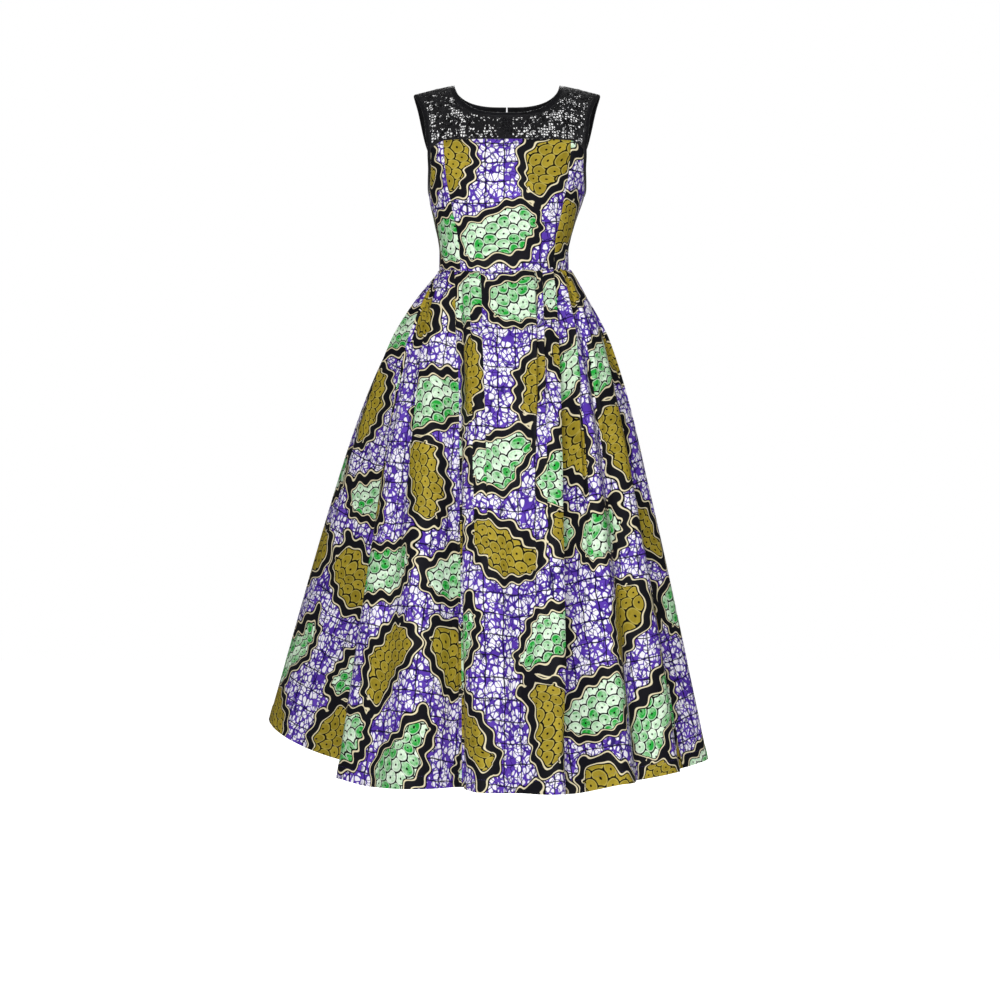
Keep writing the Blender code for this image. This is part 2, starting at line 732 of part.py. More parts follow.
def skirt_drop(reach, cut_length):
    """The height that each column loses from waist to hem, so that the cloth keeps its cut length."""
    steps = np.linspace(0, 1, 60)
    out = np.diff(flare(steps))[None, :] * reach[:, None]
    drop = cut_length
    for _ in range(12):
        length = np.hypot(out, drop[:, None] / (len(steps) - 1)).sum(1)
        drop = drop * cut_length / length
    return drop


def pleat_lift(angle, down):
    """How far the pressed pleats stand out: each rises gently to its folded edge and ends sharply there."""
    grow = np.clip(down / PLEAT_PEAK, 0, 1)
    fade = np.clip((PLEAT_END - down) / (PLEAT_END - PLEAT_PEAK), 0, 1)
    height = (PLEAT_DEPTH_AT_WAIST + (PLEAT_DEPTH - PLEAT_DEPTH_AT_WAIST) * grow) * fade**1.3
    lift = np.zeros_like(angle, float)
    for at, faces in PLEATS:
        before = (at - angle) * faces
        rising = np.clip(1 - before / PLEAT_SPAN, 0, 1) ** 1.5 * (before >= 0)
        falling = np.clip(1 + before / PLEAT_LIP, 0, 1) * (before < 0)
        lift = np.maximum(lift, rising + falling)
    return height * lift


def skirt_columns():
    """Waist angles of all columns: fold tops and bottoms, points between them, pleat edges and gore seams."""
    angles = {round(float(a), 3) for a in FOLD_ANGLES}
    for low, high in zip(FOLD_ANGLES[:-1], FOLD_ANGLES[1:]):
        angles |= {round(low + (high - low) * share, 3) for share in (0.25, 0.5, 0.75)}
    keep_clear = []
    for at, faces in PLEATS:
        keep_clear += [at, at + faces * PLEAT_LIP, at - faces * PLEAT_SPAN * PLEAT_RISE_AT]
    seams = [start for _, start, _ in GORES] + [GORES[-1][2]]
    fixed = sorted({float(a) for a in keep_clear + seams})
    angles = {a for a in angles if min(abs(a - f) for f in fixed) > COLUMN_GAP}
    return np.array(sorted(angles | set(fixed)))


def skirt_grid(angles, downs, seat=WAIST_Z):
    """Points of the skirt for waist angles (columns) and shares of the drop (rows)."""
    waist = waist_point(angles)
    turned = np.radians(np.interp(angles, FOLD_ANGLES, column(FOLDS, FOLD_COLUMNS, "hem_angle")))
    radius = between_folds(angles, "hem_radius")
    hem = np.stack([radius * np.sin(turned), -radius * np.cos(turned)], axis=1)
    reach = hem - waist
    drop = skirt_drop(np.linalg.norm(reach, axis=1), between_folds(angles, "length"))
    away = waist / np.linalg.norm(waist, axis=1, keepdims=True)
    rows = []
    for down in downs:
        lift = pleat_lift(angles, down)
        plan = waist + reach * flare(down) + away * lift[:, None]
        rows.append(np.column_stack([plan, seat - waist_dip(waist[:, 1]) * (1 - down) - drop * down]))
    return np.array(rows)


def grid_normals(points, closed):
    """Unit normals of a grid of points, halfway between those of its faces, so that walls keep their
    thickness at sharp folds. On a closed grid the first and the last column are the same seam."""
    face = np.cross(points[1:, :-1] - points[:-1, 1:], points[1:, 1:] - points[:-1, :-1])
    face /= np.linalg.norm(face, axis=-1, keepdims=True)
    left, right = (face[:, -1:], face[:, :1]) if closed else (face[:, :1], face[:, -1:])
    wide = np.concatenate([left, face, right], axis=1)
    tall = np.concatenate([wide[:1], wide, wide[-1:]], axis=0)
    normal = tall[1:, 1:] + tall[:-1, 1:] + tall[1:, :-1] + tall[:-1, :-1]
    return normal / np.linalg.norm(normal, axis=-1, keepdims=True)


def make_skirt(look):
    angles = skirt_columns()
    points = skirt_grid(angles, SKIRT_ROWS, WAIST_Z - SEAM_GAP / 2)
    normals = grid_normals(points, closed=True)
    normals[0] = level(normals[0])
    for name, start, end in GORES:
        chosen = np.where((angles >= start - 1e-6) & (angles <= end + 1e-6))[0]
        panel, lean = points[:, chosen].copy(), normals[:, chosen]
        for edge, beside in ((0, 1), (-1, -2)):
            run = panel[:, beside] - panel[:, edge]
            run /= np.linalg.norm(run, axis=1, keepdims=True)
            panel[:, edge] += run * SEAM_GAP / 2
        make_wall(name, panel, lean, grid_faces(*panel.shape[:2]), COTTON, look)


def back_centre_line():
    """Rows of (left to right points, normals) of the cloth behind the zip, from the neck into the skirt."""
    across_x = np.array([-0.5, -0.17, 0.17, 0.5]) * TAPE_WIDTH
    rows = []
    top = neck_turn("back") + (NECK_BINDING + SEAM_GAP) / TURN_SCALE
    low = float(turn_at(0.0, YOKE_SEAM["back"]))

    def yoke(x, turn):
        return yoke_point("back", x, turn)

    def bodice(x, z):
        return torso_point("back", x, z)

    for turn in np.linspace(top, low, 7):
        turns = np.full(4, turn)
        rows.append((yoke(across_x, turns), outward_normals(yoke, across_x, turns, 0.2, 0.002)))
    for z in np.linspace(YOKE_SEAM["back"], WAIST_Z, BODICE_ROWS)[1:-1]:
        heights = np.full(4, z)
        rows.append((bodice(across_x, heights), outward_normals(bodice, across_x, heights, 0.2, 0.2)))
    near = np.concatenate([np.linspace(174, 180, 7), np.linspace(-180, -174, 7)[1:]])
    downs = [down for down in SKIRT_ROWS if down < ZIP_BELOW_WAIST]
    skirt = skirt_grid(near, downs)
    lean = grid_normals(skirt, closed=False)
    lean[0] = level(lean[0])
    for points, normals in zip(skirt, lean):
        order = np.argsort(points[:, 0])
        picked = [np.interp(across_x, points[order, 0], points[order, k]) for k in range(3)]
        leaning = [np.interp(across_x, points[order, 0], normals[order, k]) for k in range(3)]
        rows.append((np.array(picked).T, np.array(leaning).T))
    return np.array([r[0] for r in rows]), np.array([r[1] for r in rows])


def make_zip_tape(name, look):
    points, normals = back_centre_line()
    inset = COTTON / 2 + TAPE_GAP + TAPE / 2
    lean = normals / np.linalg.norm(normals, axis=-1, keepdims=True)
    make_wall(name, points - lean * inset, lean, grid_faces(*points.shape[:2]), TAPE, look)


def slider_frame():
    """(origin, down, out) of the zip slider on the cloth's outer face, just below the neck binding."""
    turn = neck_turn("back") + (NECK_BINDING + SLIDER_BELOW_BINDING) / TURN_SCALE
    at = yoke_point("back", 0.0, turn)
    down = yoke_point("back", 0.0, turn + 0.01) - at
    down /= np.linalg.norm(down)
    out = np.cross(down, [1.0, 0, 0])
    out *= np.sign(out[1])
    return at + out * LACE / 2, down, out


def in_frame(local, frame):
    """Points given as (x, down the cloth, out from it) in the dress's own axes."""
    origin, down, out = frame
    local = np.asarray(local, float)
    return origin + local[:, :1] * [1, 0, 0] + local[:, 1:2] * down + local[:, 2:] * out


def block(size_x, down_range, out_range):
    """Corners and faces of a block in the slider's frame."""
    x = size_x / 2
    corners = [(sx * x, d, o) for sx in (-1, 1) for d in down_range for o in out_range]
    faces = [(0, 1, 3, 2), (4, 6, 7, 5), (0, 4, 5, 1), (2, 3, 7, 6), (0, 2, 6, 4), (1, 5, 7, 3)]
    return corners, faces


def ring(width, inner, outer, centre, sides=16):
    """A flat ring round an axis along x, in the slider's frame."""
    corners = []
    for sx in (-0.5, 0.5):
        for radius in (inner, outer):
            for k in range(sides):
                angle = 2 * math.pi * k / sides
                spot = (centre[0] + radius * math.cos(angle), centre[1] + radius * math.sin(angle))
                corners.append((sx * width, *spot))
    faces = []
    for k in range(sides):
        n = (k + 1) % sides
        a, b, c, d = (sides * j for j in range(4))
        faces += [(a + k, a + n, b + n, b + k), (c + k, d + k, d + n, c + n)]
        faces += [(a + k, c + k, c + n, a + n), (b + k, b + n, d + n, d + k)]
    return corners, faces


def union(base, others):
    """Joins helper solids onto base with Boolean modifiers and applies them."""
    for other in others:
        joined = base.modifiers.new("join", "BOOLEAN")
        joined.operation = "UNION"
        joined.object = other
    graph = bpy.context.evaluated_depsgraph_get()
    mesh = bpy.data.meshes.new_from_object(base.evaluated_get(graph))
    base.modifiers.clear()
    base.data = mesh
    for other in others:
        bpy.data.objects.remove(other)


def outward_object(name, corners, faces, frame, look):
    """An object from local corners, with its faces turned outwards."""
    made = make_object(name, in_frame(corners, frame), faces, look, 35)
    points = np.array([v.co for v in made.data.vertices])
    fans = [(f[0], f[k], f[k + 1]) for f in faces for k in range(1, len(f) - 1)]
    volume = sum(np.dot(points[a], np.cross(points[b], points[c])) for a, b, c in fans)
    if volume < 0:
        made.data.flip_normals()
    return made


def bridge_centre():
    """(down, out) of the pull's pivot in the slider's frame."""
    return 0.0, SEAM_GAP + SLIDER_SIZE[2] + BRIDGE_RING - BRIDGE_SUNK


def make_slider(name, frame, look):
    _, length, thick = SLIDER_SIZE
    top = -length / 2
    plate = block(SLIDER_SIZE[0], (top, -top), (SEAM_GAP, SEAM_GAP + thick))
    neck_low = -LACE - SEAM_GAP / 3
    neck = block(SLIDER_NECK[0], (top, top + SLIDER_NECK[1]), (neck_low, SEAM_GAP + thick / 2))
    loop = ring(BRIDGE_THICKNESS, BRIDGE_HOLE, BRIDGE_RING, bridge_centre())
    base = outward_object(name, *plate, frame, look)
    stem = outward_object("stem", *neck, frame, look)
    bridge = outward_object("bridge", *loop, frame, look)
    union(base, [stem, bridge])


def make_pull(name, frame, look):
    """A teardrop pull whose top bar turns in the slider's bridge."""
    centre_down, centre_out = bridge_centre()
    slot_width, slot_end = PULL_SLOT
    half = PULL_THICKNESS / 2
    neck, belly = PULL_NECK / 2, (PULL_WIDTH / 2, PULL_LENGTH * PULL_STRAIGHT)
    right = [(neck, -PULL_BAR), (neck, slot_end), belly]
    left = [(-x, d) for x, d in right]
    turns = np.linspace(math.pi * 0.9, math.pi * 0.1, 7)
    tip_d = PULL_LENGTH * (1 - PULL_ROUND + PULL_ROUND * np.sin(turns))
    tip = list(zip(PULL_WIDTH / 2 * np.cos(turns), tip_d))
    outline = np.array([*left, *tip, *right[::-1]])
    slot = [(-1, PULL_BAR), (1, PULL_BAR), (1, slot_end), (-1, slot_end)]
    hole = np.array([(side * slot_width / 2, d) for side, d in slot])
    flat, faces = triangulate(outline, [hole], 50.0)
    count = len(flat)
    lean = math.radians(PULL_LEAN)
    corners = []
    for thick in (half, -half):
        for x, d in flat:
            down = centre_down + d * math.cos(lean) + thick * math.sin(lean)
            out = centre_out + thick * math.cos(lean) - d * math.sin(lean)
            corners.append((x, down, out))
    directed = {edge for f in faces for edge in zip(f, f[1:] + f[:1])}
    rim = [(j, i, count + i, count + j) for i, j in sorted(directed) if (j, i) not in directed]
    lower = [tuple(count + i for i in reversed(f)) for f in faces]
    return outward_object(name, corners, faces + lower + rim, frame, look)


def hang_on_pivot(pull, frame):
    """Moves the pull's origin to its pivot, so that it turns about the slider's bridge."""
    down, out = bridge_centre()
    pivot = Vector(in_frame([(0, down, out)], frame)[0]) * MM
    for vertex in pull.data.vertices:
        vertex.co -= pivot
    pull.location = pivot


def main():
    for old in list(bpy.data.objects):
        bpy.data.objects.remove(old)
    cotton = material("wax_print_cotton", (0.27, 0.14, 0.62), 0.62)
    lace = material("black_lace", (0.02, 0.02, 0.022), 0.7)
    satin = material("black_binding", (0.012, 0.012, 0.014), 0.5)
    tape = material("zip_tape", (0.015, 0.015, 0.017), 0.75)
    metal = material("zip_metal", (0.03, 0.03, 0.032), 0.35, 0.8)

    make_yoke("yoke_front", "front", 0, lace)
    make_yoke("yoke_back_left", "back", -1, lace)
    make_yoke("yoke_back_right", "back", 1, lace)
    make_neck_binding("neck_binding", satin)
    for hand, word in ((-1, "left"), (1, "right")):
        make_armhole_binding(f"armhole_binding_{word}", hand, satin)
        make_side_panel(f"bodice_side_front_{word}", "front", hand, cotton)
        make_side_panel(f"bodice_side_back_{word}", "back", hand, cotton)

    def front_edge(sign):
        return lambda z: sign * (princess["front"](z) - SEAM_GAP / 2)

    def back_edge(sign):
        return lambda z: sign * (princess["back"](z) - SEAM_GAP / 2)

    def zip_side(sign):
        return lambda z: sign * SEAM_GAP / 2

    make_centre_panel("bodice_front", "front", front_edge(-1), front_edge(1), FRONT_COLUMNS, cotton)
    make_centre_panel("bodice_back_left", "back", back_edge(-1), zip_side(-1), BACK_COLUMNS, cotton)
    make_centre_panel("bodice_back_right", "back", zip_side(1), back_edge(1), BACK_COLUMNS, cotton)
    make_skirt(cotton)

    make_zip_tape("zip_tape", tape)
    frame = slider_frame()
    make_slider("zip_slider", frame, metal)
    pull = make_pull("zip_pull", frame, metal)
    hang_on_pivot(pull, frame)


main()
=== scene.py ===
"""Looks of the sleeveless wax print midi dress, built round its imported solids.

Sizes are in millimetres in the dress's own axes: it faces -Y, +X is the viewer's right, +Z is up, and the origin
lies midway between the shoulder seams. MM turns them into metres where a mesh is made.
"""

import math

import bpy
import numpy as np
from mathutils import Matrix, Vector


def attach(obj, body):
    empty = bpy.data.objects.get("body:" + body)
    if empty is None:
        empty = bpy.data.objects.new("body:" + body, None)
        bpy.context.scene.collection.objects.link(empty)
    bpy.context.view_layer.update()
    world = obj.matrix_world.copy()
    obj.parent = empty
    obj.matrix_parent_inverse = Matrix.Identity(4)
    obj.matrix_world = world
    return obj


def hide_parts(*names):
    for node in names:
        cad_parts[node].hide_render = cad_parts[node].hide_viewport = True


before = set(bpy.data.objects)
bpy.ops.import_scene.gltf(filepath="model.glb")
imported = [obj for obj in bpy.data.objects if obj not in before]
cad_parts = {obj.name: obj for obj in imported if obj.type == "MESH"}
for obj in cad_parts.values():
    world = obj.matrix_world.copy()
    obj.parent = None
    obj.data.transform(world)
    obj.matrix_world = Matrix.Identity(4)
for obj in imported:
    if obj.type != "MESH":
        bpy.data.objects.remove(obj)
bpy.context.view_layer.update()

MM = 0.001
DRESS = "dress"

# Camera, floor and light, in metres
EYE = (-0.0115, -3.6, -0.683)
LENS = 78.5
SENSOR = 36.0
FLOOR_Z = -1.467
FLOOR_SIDE = 14.0
BACKDROP = 1.0
AMBIENT = 0.12
FLOOR_GLOW = 1.0
# name, place, aim, side of the light and its power
LIGHTS = (
    ("key", (-0.8, -3.9, 0.6), (0, 0, -0.65), 1.0, 102),
    ("fill", (1.4, -3.7, 0.2), (0, 0, -0.65), 1.0, 40),
    ("back", (0.3, 3.0, 1.2), (0, 0, -0.6), 2.0, 70),
)

# Cloth
COTTON_WALL = 1.5
COTTON = 0.9
LACE = 0.9
BINDING = 2.2
SEAM_GAP = 0.3
SEAM_STEPS = (0.0, 0.6, 1.3, 2.2, 3.4, 5.0)
SEAM_DEPTH = 1.1
SEAM_WIDTH = 2.4
BODICE_PITCH = 3.4
SKIRT_PITCH = 5.2
HEM_WIDTH = 22.0
HEM_STEP = 0.45
HEM_RAMP = 1.5
PANEL_INSET = 0.05
CREASE_START = 0.12

# Torso
NECK_HALF = 86.0
SHOULDER_TIP = 151.0
SHOULDER_SLOPE = 0.27
RIDGE_TOP = 4.0
RIDGE_BLEND = 30.0
CROWN_DROP = 110.0
TURN_SCALE = 95.0
SECTION_POWER = 2.5
SECTION_POINTS = 121
HALVINGS = 40
WAIST_Z = -305.0
WAIST_DIP = 9.0
TORSO_HEART = np.array([0.0, 0.0, -250.0])
TORSO_COLUMNS = ("height", "half_width", "front", "back", "shift")
TORSO = (
    (-305, 106.5, 82, 75, -5.0),
    (-274, 106.0, 87, 76, -5.0),
    (-254, 109.0, 94, 78, -4.5),
    (-234, 114.0, 103, 80, -4.0),
    (-215, 119.0, 111, 83, -3.0),
    (-195, 125.0, 118, 87, -1.5),
    (-175, 129.5, 120, 90, 0.0),
    (-150, 138.0, 115, 93, 0.0),
    (-120, 150.0, 107, 94, 0.0),
    (-86, 157.0, 94, 92, 0.0),
    (-60, 158.0, 82, 88, 0.0),
    (-30, 158.0, 74, 82, 0.0),
    (20, 158.0, 70, 78, 0.0),
)

# Yoke, necklines and armholes
FRONT_NECK_DROP = 56.0
BACK_NECK_DROP = 25.0
NECK_POWER = 3.0
NECK_BINDING = 8.0
ARMHOLE_BINDING = 7.0
ARMHOLE_MIDDLE = -112.0
ARMHOLE_BOTTOM = -175.0
ARMHOLE_REACH = {"front": 68.0, "back": 62.0}
ARMHOLE_TOP_POWER = 1.3
ARMHOLE_BOTTOM_POWER = 2.2
ARMHOLE_POINTS = 60
ARMHOLE_CENTRE_X = 140.0
ARMHOLE_ROUND_OVER = 12.0
INSIDE_ARMHOLE_X = 60.0
NECK_POINTS = 81
YOKE_SEAM = {"front": -103.0, "back": -98.0}
YOKE_CORNER = {"front": -115.0, "back": -119.0}
YOKE_SEAM_POINTS = 41
YOKE_SLANT_POINTS = 12
YOKE_SLANT_POWER = 1.3
ZIP_EDGE_POINTS = 16
SIDE_PANEL_WIDTH = 90.0
SIDE_PANEL_HEIGHTS = 60

# The bindings' section, as shares of the width from the fold and of half the thickness
BINDING_SECTION = (
    (0.0, 0.0), (0.03, 0.62), (0.10, 0.92), (0.24, 1.05), (0.45, 1.0), (0.66, 0.9), (0.78, 0.66),
    (0.86, 0.82), (0.96, 0.74), (1.0, 0.3), (1.0, -0.5), (0.7, -0.9), (0.3, -1.0), (0.05, -0.6),
)
PRINCESS_COLUMNS = ("height", "front", "back")
PRINCESS = (
    (-305, 76, 64),
    (-260, 80, 68),
    (-215, 89, 76),
    (-175, 97, 84),
    (-130, 102, 91),
    (-87, 104, 95),
)

# Lace
SPRIG_PITCH = 25.0
SPRIG_START = 7.0
SPRIG_TURN = 0.6
SPRIG_PETALS = 4
SPRIG_RADIUS = 5.9
PETAL_LENGTH = 6.6
PETAL_WIDTH = 5.2
SPRIG_CLEARANCE = 10.8
SPRIG_SIZE = (0.62, 0.38)
PETAL_MISSING = 0.25
STAGGER = 0.866
LACE_CELL = 0.85
LACE_MARGIN = 2.2
NET_PITCH = 4.4
NET_THREAD = 0.95
NET_JITTER = 0.36
CORD_LIFT = 0.6
FLOWER_PITCH = 33.0
FLOWER_PETALS = 5
FLOWER_REACH = 6.0
FLOWER_PETAL = (4.8, 2.9)
FLOWER_HEART = 2.6
FLOWER_SIZE = (0.85, 0.35)
FLOWER_NUDGE = 6.0
FLOWER_FIELD = 30.0
LEAF_OUT = 16.0
LEAF_TURN = 0.5
LEAF = (6.6, 2.2)
OVAL_EGG = 0.18
CORD_WIDTH = 0.55
FAR = 50.0
LACE_CORNER = 0.08
MOTIF_EDGE = 0.4

# Skirt
FLARE_KICK = 0.27
FLARE_KICK_DEPTH = 0.14
DROP_STEPS = 60
DROP_ROUNDS = 12
FOLD_COLUMNS = ("waist_angle", "hem_angle", "hem_radius", "length")
FOLDS = (
    (-180, -180, 262, 846),
    (-160, -163, 322, 848),
    (-144, -150, 276, 842),
    (-130, -137, 334, 836),
    (-108, -116, 446, 831),
    (-88, -77, 236, 824),
    (-77, -62, 303, 847),
    (-66, -48, 289, 851),
    (-56, -34, 294, 852),
    (-45, -19.5, 222, 840),
    (-22, -8, 266, 851),
    (3, 4, 244, 848),
    (37, 16.5, 280, 856),
    (49, 24, 236, 852),
    (58, 37, 304, 848),
    (67, 50, 272, 840),
    (77, 63, 305, 840),
    (87, 77, 262, 840),
    (99, 95, 335, 846),
    (114, 113, 282, 846),
    (129, 132, 346, 850),
    (145, 149, 272, 846),
    (160, 164, 324, 850),
    (180, 180, 262, 846),
)
# Waist angle of each pleat's folded edge, and the side that it faces
PLEATS = (
    (-163, -1), (-149, 1), (-133, -1), (-117, 1), (-101, -1), (-80, 1),
    (-63, -1), (-28, 1), (-15, -1), (19, 1), (32, -1), (54, 1),
    (68, -1), (84, 1), (101, -1), (117, 1), (133, -1), (149, 1), (163, -1),
)
PLEAT_DEPTH_AT_WAIST = 1.2
PLEAT_DEPTH = 8.0
PLEAT_PEAK = 0.13
PLEAT_END = 0.62
PLEAT_FADE_POWER = 1.3
PLEAT_SPAN = 9.0
PLEAT_RISE_POWER = 1.5
PLEAT_LIP = 1.1
PLEAT_INTAKE = 34.0
PLEAT_STEPS = (-1.8, -1.0, -0.5, -0.2, 0.0, 0.35, 0.75, 1.1, 1.6)
GORES = (
    ("skirt_back_left", -180, -141),
    ("skirt_side_back_left", -141, -92),
    ("skirt_side_front_left", -92, -45),
    ("skirt_front", -45, 46),
    ("skirt_side_front_right", 46, 92),
    ("skirt_side_back_right", 92, 141),
    ("skirt_back_right", 141, 180),
)

# Soft creases of the skirt: troughs (depth below 0) and ridges that run down the cloth. Waist angle and share of the
# drop at the top, the same at the low end, width and depth.
SKIRT_CREASES = (
    (-38, 0.0, -36, 0.30, 7, -2.6),
    (-33, 0.0, -31, 0.22, 5, 1.8),
    (-20, 0.0, -19, 0.26, 6, -2.2),
    (-7, 0.0, -6, 0.20, 6, -2.4),
    (-1, 0.02, 0, 0.34, 7, 1.9),
    (8, 0.0, 9, 0.30, 6, -2.4),
    (13, 0.02, 14, 0.22, 5, 1.6),
    (25, 0.0, 25, 0.24, 6, -2.2),
    (38, 0.0, 38, 0.30, 6, -2.0),
    (43, 0.04, 42, 0.45, 9, 1.8),
    (60, 0.0, 61, 0.26, 6, -2.4),
    (75, 0.0, 75, 0.32, 7, -2.2),
    (93, 0.0, 94, 0.28, 7, -2.4),
    (109, 0.0, 108, 0.30, 6, -2.0),
    (125, 0.0, 124, 0.25, 7, -2.4),
    (141, 0.0, 140, 0.34, 6, -2.2),
    (155, 0.0, 156, 0.26, 7, -2.0),
    (171, 0.0, 170, 0.22, 6, -2.4),
    (-171, 0.0, -170, 0.26, 7, -2.2),
    (-156, 0.0, -157, 0.30, 6, -2.4),
    (-141, 0.0, -142, 0.24, 6, -2.0),
    (-125, 0.0, -124, 0.30, 7, -2.4),
    (-109, 0.0, -108, 0.26, 6, -2.2),
    (-93, 0.0, -92, 0.32, 7, -2.2),
    (-72, 0.0, -70, 0.28, 6, -2.4),
    (-52, 0.0, -51, 0.26, 6, -2.0),
    (-87, 0.18, -87, 1.6, 14, -6.0),
    (-66, 0.14, -64, 1.4, 20, -4.5),
    (-60, 0.42, -52, 0.92, 16, 3.2),
    (-44, 0.18, -45, 1.6, 13, -14.0),
    (-36, 0.30, -34, 1.2, 12, 3.5),
    (-28, 0.40, -22, 0.96, 16, -4.2),
    (-10, 0.42, -4, 0.95, 15, 3.4),
    (5, 0.30, 3, 1.5, 20, -6.0),
    (28, 0.45, 19, 0.97, 14, 3.0),
    (47, 0.15, 48, 1.5, 13, -7.0),
    (70, 0.20, 67, 1.5, 15, -6.0),
    (84, 0.46, 80, 0.95, 17, 2.4),
    (110, 0.40, 108, 0.90, 18, -2.6),
    (136, 0.44, 137, 0.94, 16, 2.4),
    (158, 0.42, 160, 0.88, 18, -2.2),
    (-170, 0.46, -171, 0.95, 16, 2.4),
    (-150, 0.40, -152, 0.90, 18, -2.6),
    (-122, 0.44, -126, 0.94, 18, 2.4),
    (-98, 0.42, -92, 0.90, 16, -2.4),
)

# Folds with a sharp edge that the cloth keeps below the pleats: waist angle, the side on which the fold falls away,
# shares of the drop between which it runs, and height
TUCKS = (
    (-87, -1, 0.12, 1.4, 7.0),
    (-45.5, -1, 0.30, 1.2, 4.0),
    (19.4, 1, -0.2, 0.40, 3.5),
    (40, 1, -0.2, 0.92, 8.5),
    (54.4, 1, -0.2, 0.70, 5.5),
    (84.4, 1, -0.1, 0.90, 5.0),
    (117.4, 1, -0.1, 0.85, 5.0),
    (149.4, 1, 0.0, 1.4, 5.5),
    (-149.4, -1, 0.0, 1.4, 5.5),
    (-117.4, -1, -0.1, 0.80, 5.0),
)
TUCK_RISE = 24.0
TUCK_HOLLOW = 17.0
TUCK_HOLLOW_SHARE = 0.8
TUCK_FADE = 0.16
HOLLOW_DEPTH = 0.5
HOLLOW_WIDTH = 12.0
TUCK_STEPS = (-1.5, -0.8, -0.3, 0.0, 0.3, 0.8, 1.5)
GORE_STEPS = (-1.6, -0.8, -0.35, 0, 0.35, 0.8, 1.6)
CREASE_AT_SEAM = 0.35
SKIRT_CREASE_POWER = 0.8
COLUMN_STEP = 1.0
COLUMN_CLEAR = 0.45
TUCK_CLEAR = (0.02, 0.3)

BODICE_CREASE_POWER = 0.7

# Soft creases of the bodice: side, x and z at both ends, width and depth
BODICE_CREASES = (
    ("front", -98, -262, -52, -282, 5, -1.5),
    ("front", -104, -284, -62, -296, 4, -1.2),
    ("front", 94, -256, 50, -276, 5, -1.5),
    ("front", 98, -280, 58, -294, 4, -1.2),
    ("front", -30, -292, 26, -286, 6, -1.0),
    ("front", -112, -186, -88, -206, 5, -1.3),
    ("front", 112, -184, 88, -208, 5, -1.3),
    ("front", -100, -128, -84, -158, 6, -1.2),
    ("front", 100, -126, 86, -154, 6, -1.2),
    ("front", -20, -96, -26, -128, 9, -0.9),
    ("front", 34, -94, 40, -132, 9, -0.9),
    ("back", -92, -252, -40, -276, 6, -1.5),
    ("back", -98, -280, -54, -292, 5, -1.2),
    ("back", 90, -256, 42, -272, 6, -1.4),
    ("back", 96, -282, 50, -296, 5, -1.3),
    ("back", -104, -190, -78, -214, 6, -1.2),
    ("back", 104, -186, 80, -210, 6, -1.2),
    ("back", -60, -116, -52, -152, 9, -1.0),
    ("back", 62, -120, 54, -156, 9, -1.0),
)

# Zip
TAPE = 1.2
TAPE_GAP = 0.5
ZIP_MOUTH = 1.05
ZIP_MOUTH_LENGTH = 30.0
ZIP_BELOW_WAIST = 0.16
ZIP_STEPS = (24, 48, 24)
COIL_PITCH = 1.5
COIL_HALF = (2.0, 0.55)
COIL_WIRE = 0.32
COIL_GAP = 0.1
COIL_END = 2.0
COIL_STEPS = 10
COIL_SIDES = 5

# Stitches: pitch, length and radius of each kind, and the rings of one stitch by share of its length and its radius
STITCH = (3.4, 2.6, 0.22)
HEM_STITCH = (4.2, 2.4, 0.2)
HEM_STITCH_UP = 2.5
STITCH_RINGS = ((-0.5, 0.25), (-0.36, 0.85), (0.0, 1.0), (0.36, 0.85), (0.5, 0.25))
STITCH_SIDES = 6
STITCH_FLATNESS = 0.8
BINDING_STITCH = (0.78, 0.36)

# Print: islands in a repeat of REPEAT, each new row of the repeat moved sideways by REPEAT_SHIFT. Each island is
# made of three rounds in a bowed row, and its tail sits on the last round. Its numbers are x, y, turn, the radii of
# the three rounds, their step and bow, the phase of its lobes, the turn of its tail, and 1 where it is olive.
REPEAT = (632.0, 280.0)
REPEAT_SHIFT = 226.0
ISLANDS = (
    (76, 70, 24, 49, 52, 37, 40, 9, 0.4, 35, 0),
    (236, 76, 204, 40, 53, 46, 38, -10, 2.1, -50, 0),
    (388, 64, 58, 51, 47, 34, 42, 8, 4.0, 28, 0),
    (548, 74, 212, 48, 53, 39, 39, 11, 5.2, 48, 0),
    (-2, 210, -52, 51, 46, 34, 43, -9, 1.1, -32, 1),
    (154, 214, 98, 37, 50, 47, 38, 10, 3.1, 60, 1),
    (314, 205, 236, 50, 49, 35, 42, 9, 0.2, 30, 1),
    (472, 212, 160, 38, 51, 45, 40, -10, 2.6, -42, 1),
)
ROUND_BLEND = 26.0
LOBE_PITCH = 32.0
LOBE_HEIGHT = 3.5
LOBE_FADE = 55.0
TAIL_RADIUS = 11.5
TAIL_OUT = 4.0
TAIL_BLEND = 17.0
OUTER_LINE = 2.1
OUTER_PALE = 4.3
INNER_PALE = 15.0
INNER_LINE = 16.9
FILL_EDGE = 18.6
SCALE_PITCH = 18.6
SCALE_ROW = 16.4
SCALE_RADIUS = 11.2
SCALE_LINE = 1.9
SCALE_DOT = 1.6
GRID_PITCH = (30.0, 33.0)
GRID_LINE = 0.85
PEBBLE = (8.0, 10.5)
VEIN_PITCH = 15.0
VEIN_WIDTH = 0.4
WEAVE = 9.0
LINE_BLUR = (0.15, 0.3)
PRINT_BLUR = 0.25

# How the parts of the print waver: scale and detail of the noise, and twice the most that it moves them
PEBBLE_SWAY = (0.05, 2.0, 9.0)
VEIN_SWAY = (0.05, 2.0, 14.0)
GRID_SWAY = (0.028, 2.0, 9.0)
SCALE_SWAY = (0.03, 1.0, 6.0)
ISLAND_SWAY = (0.011, 1.0, 42.0)

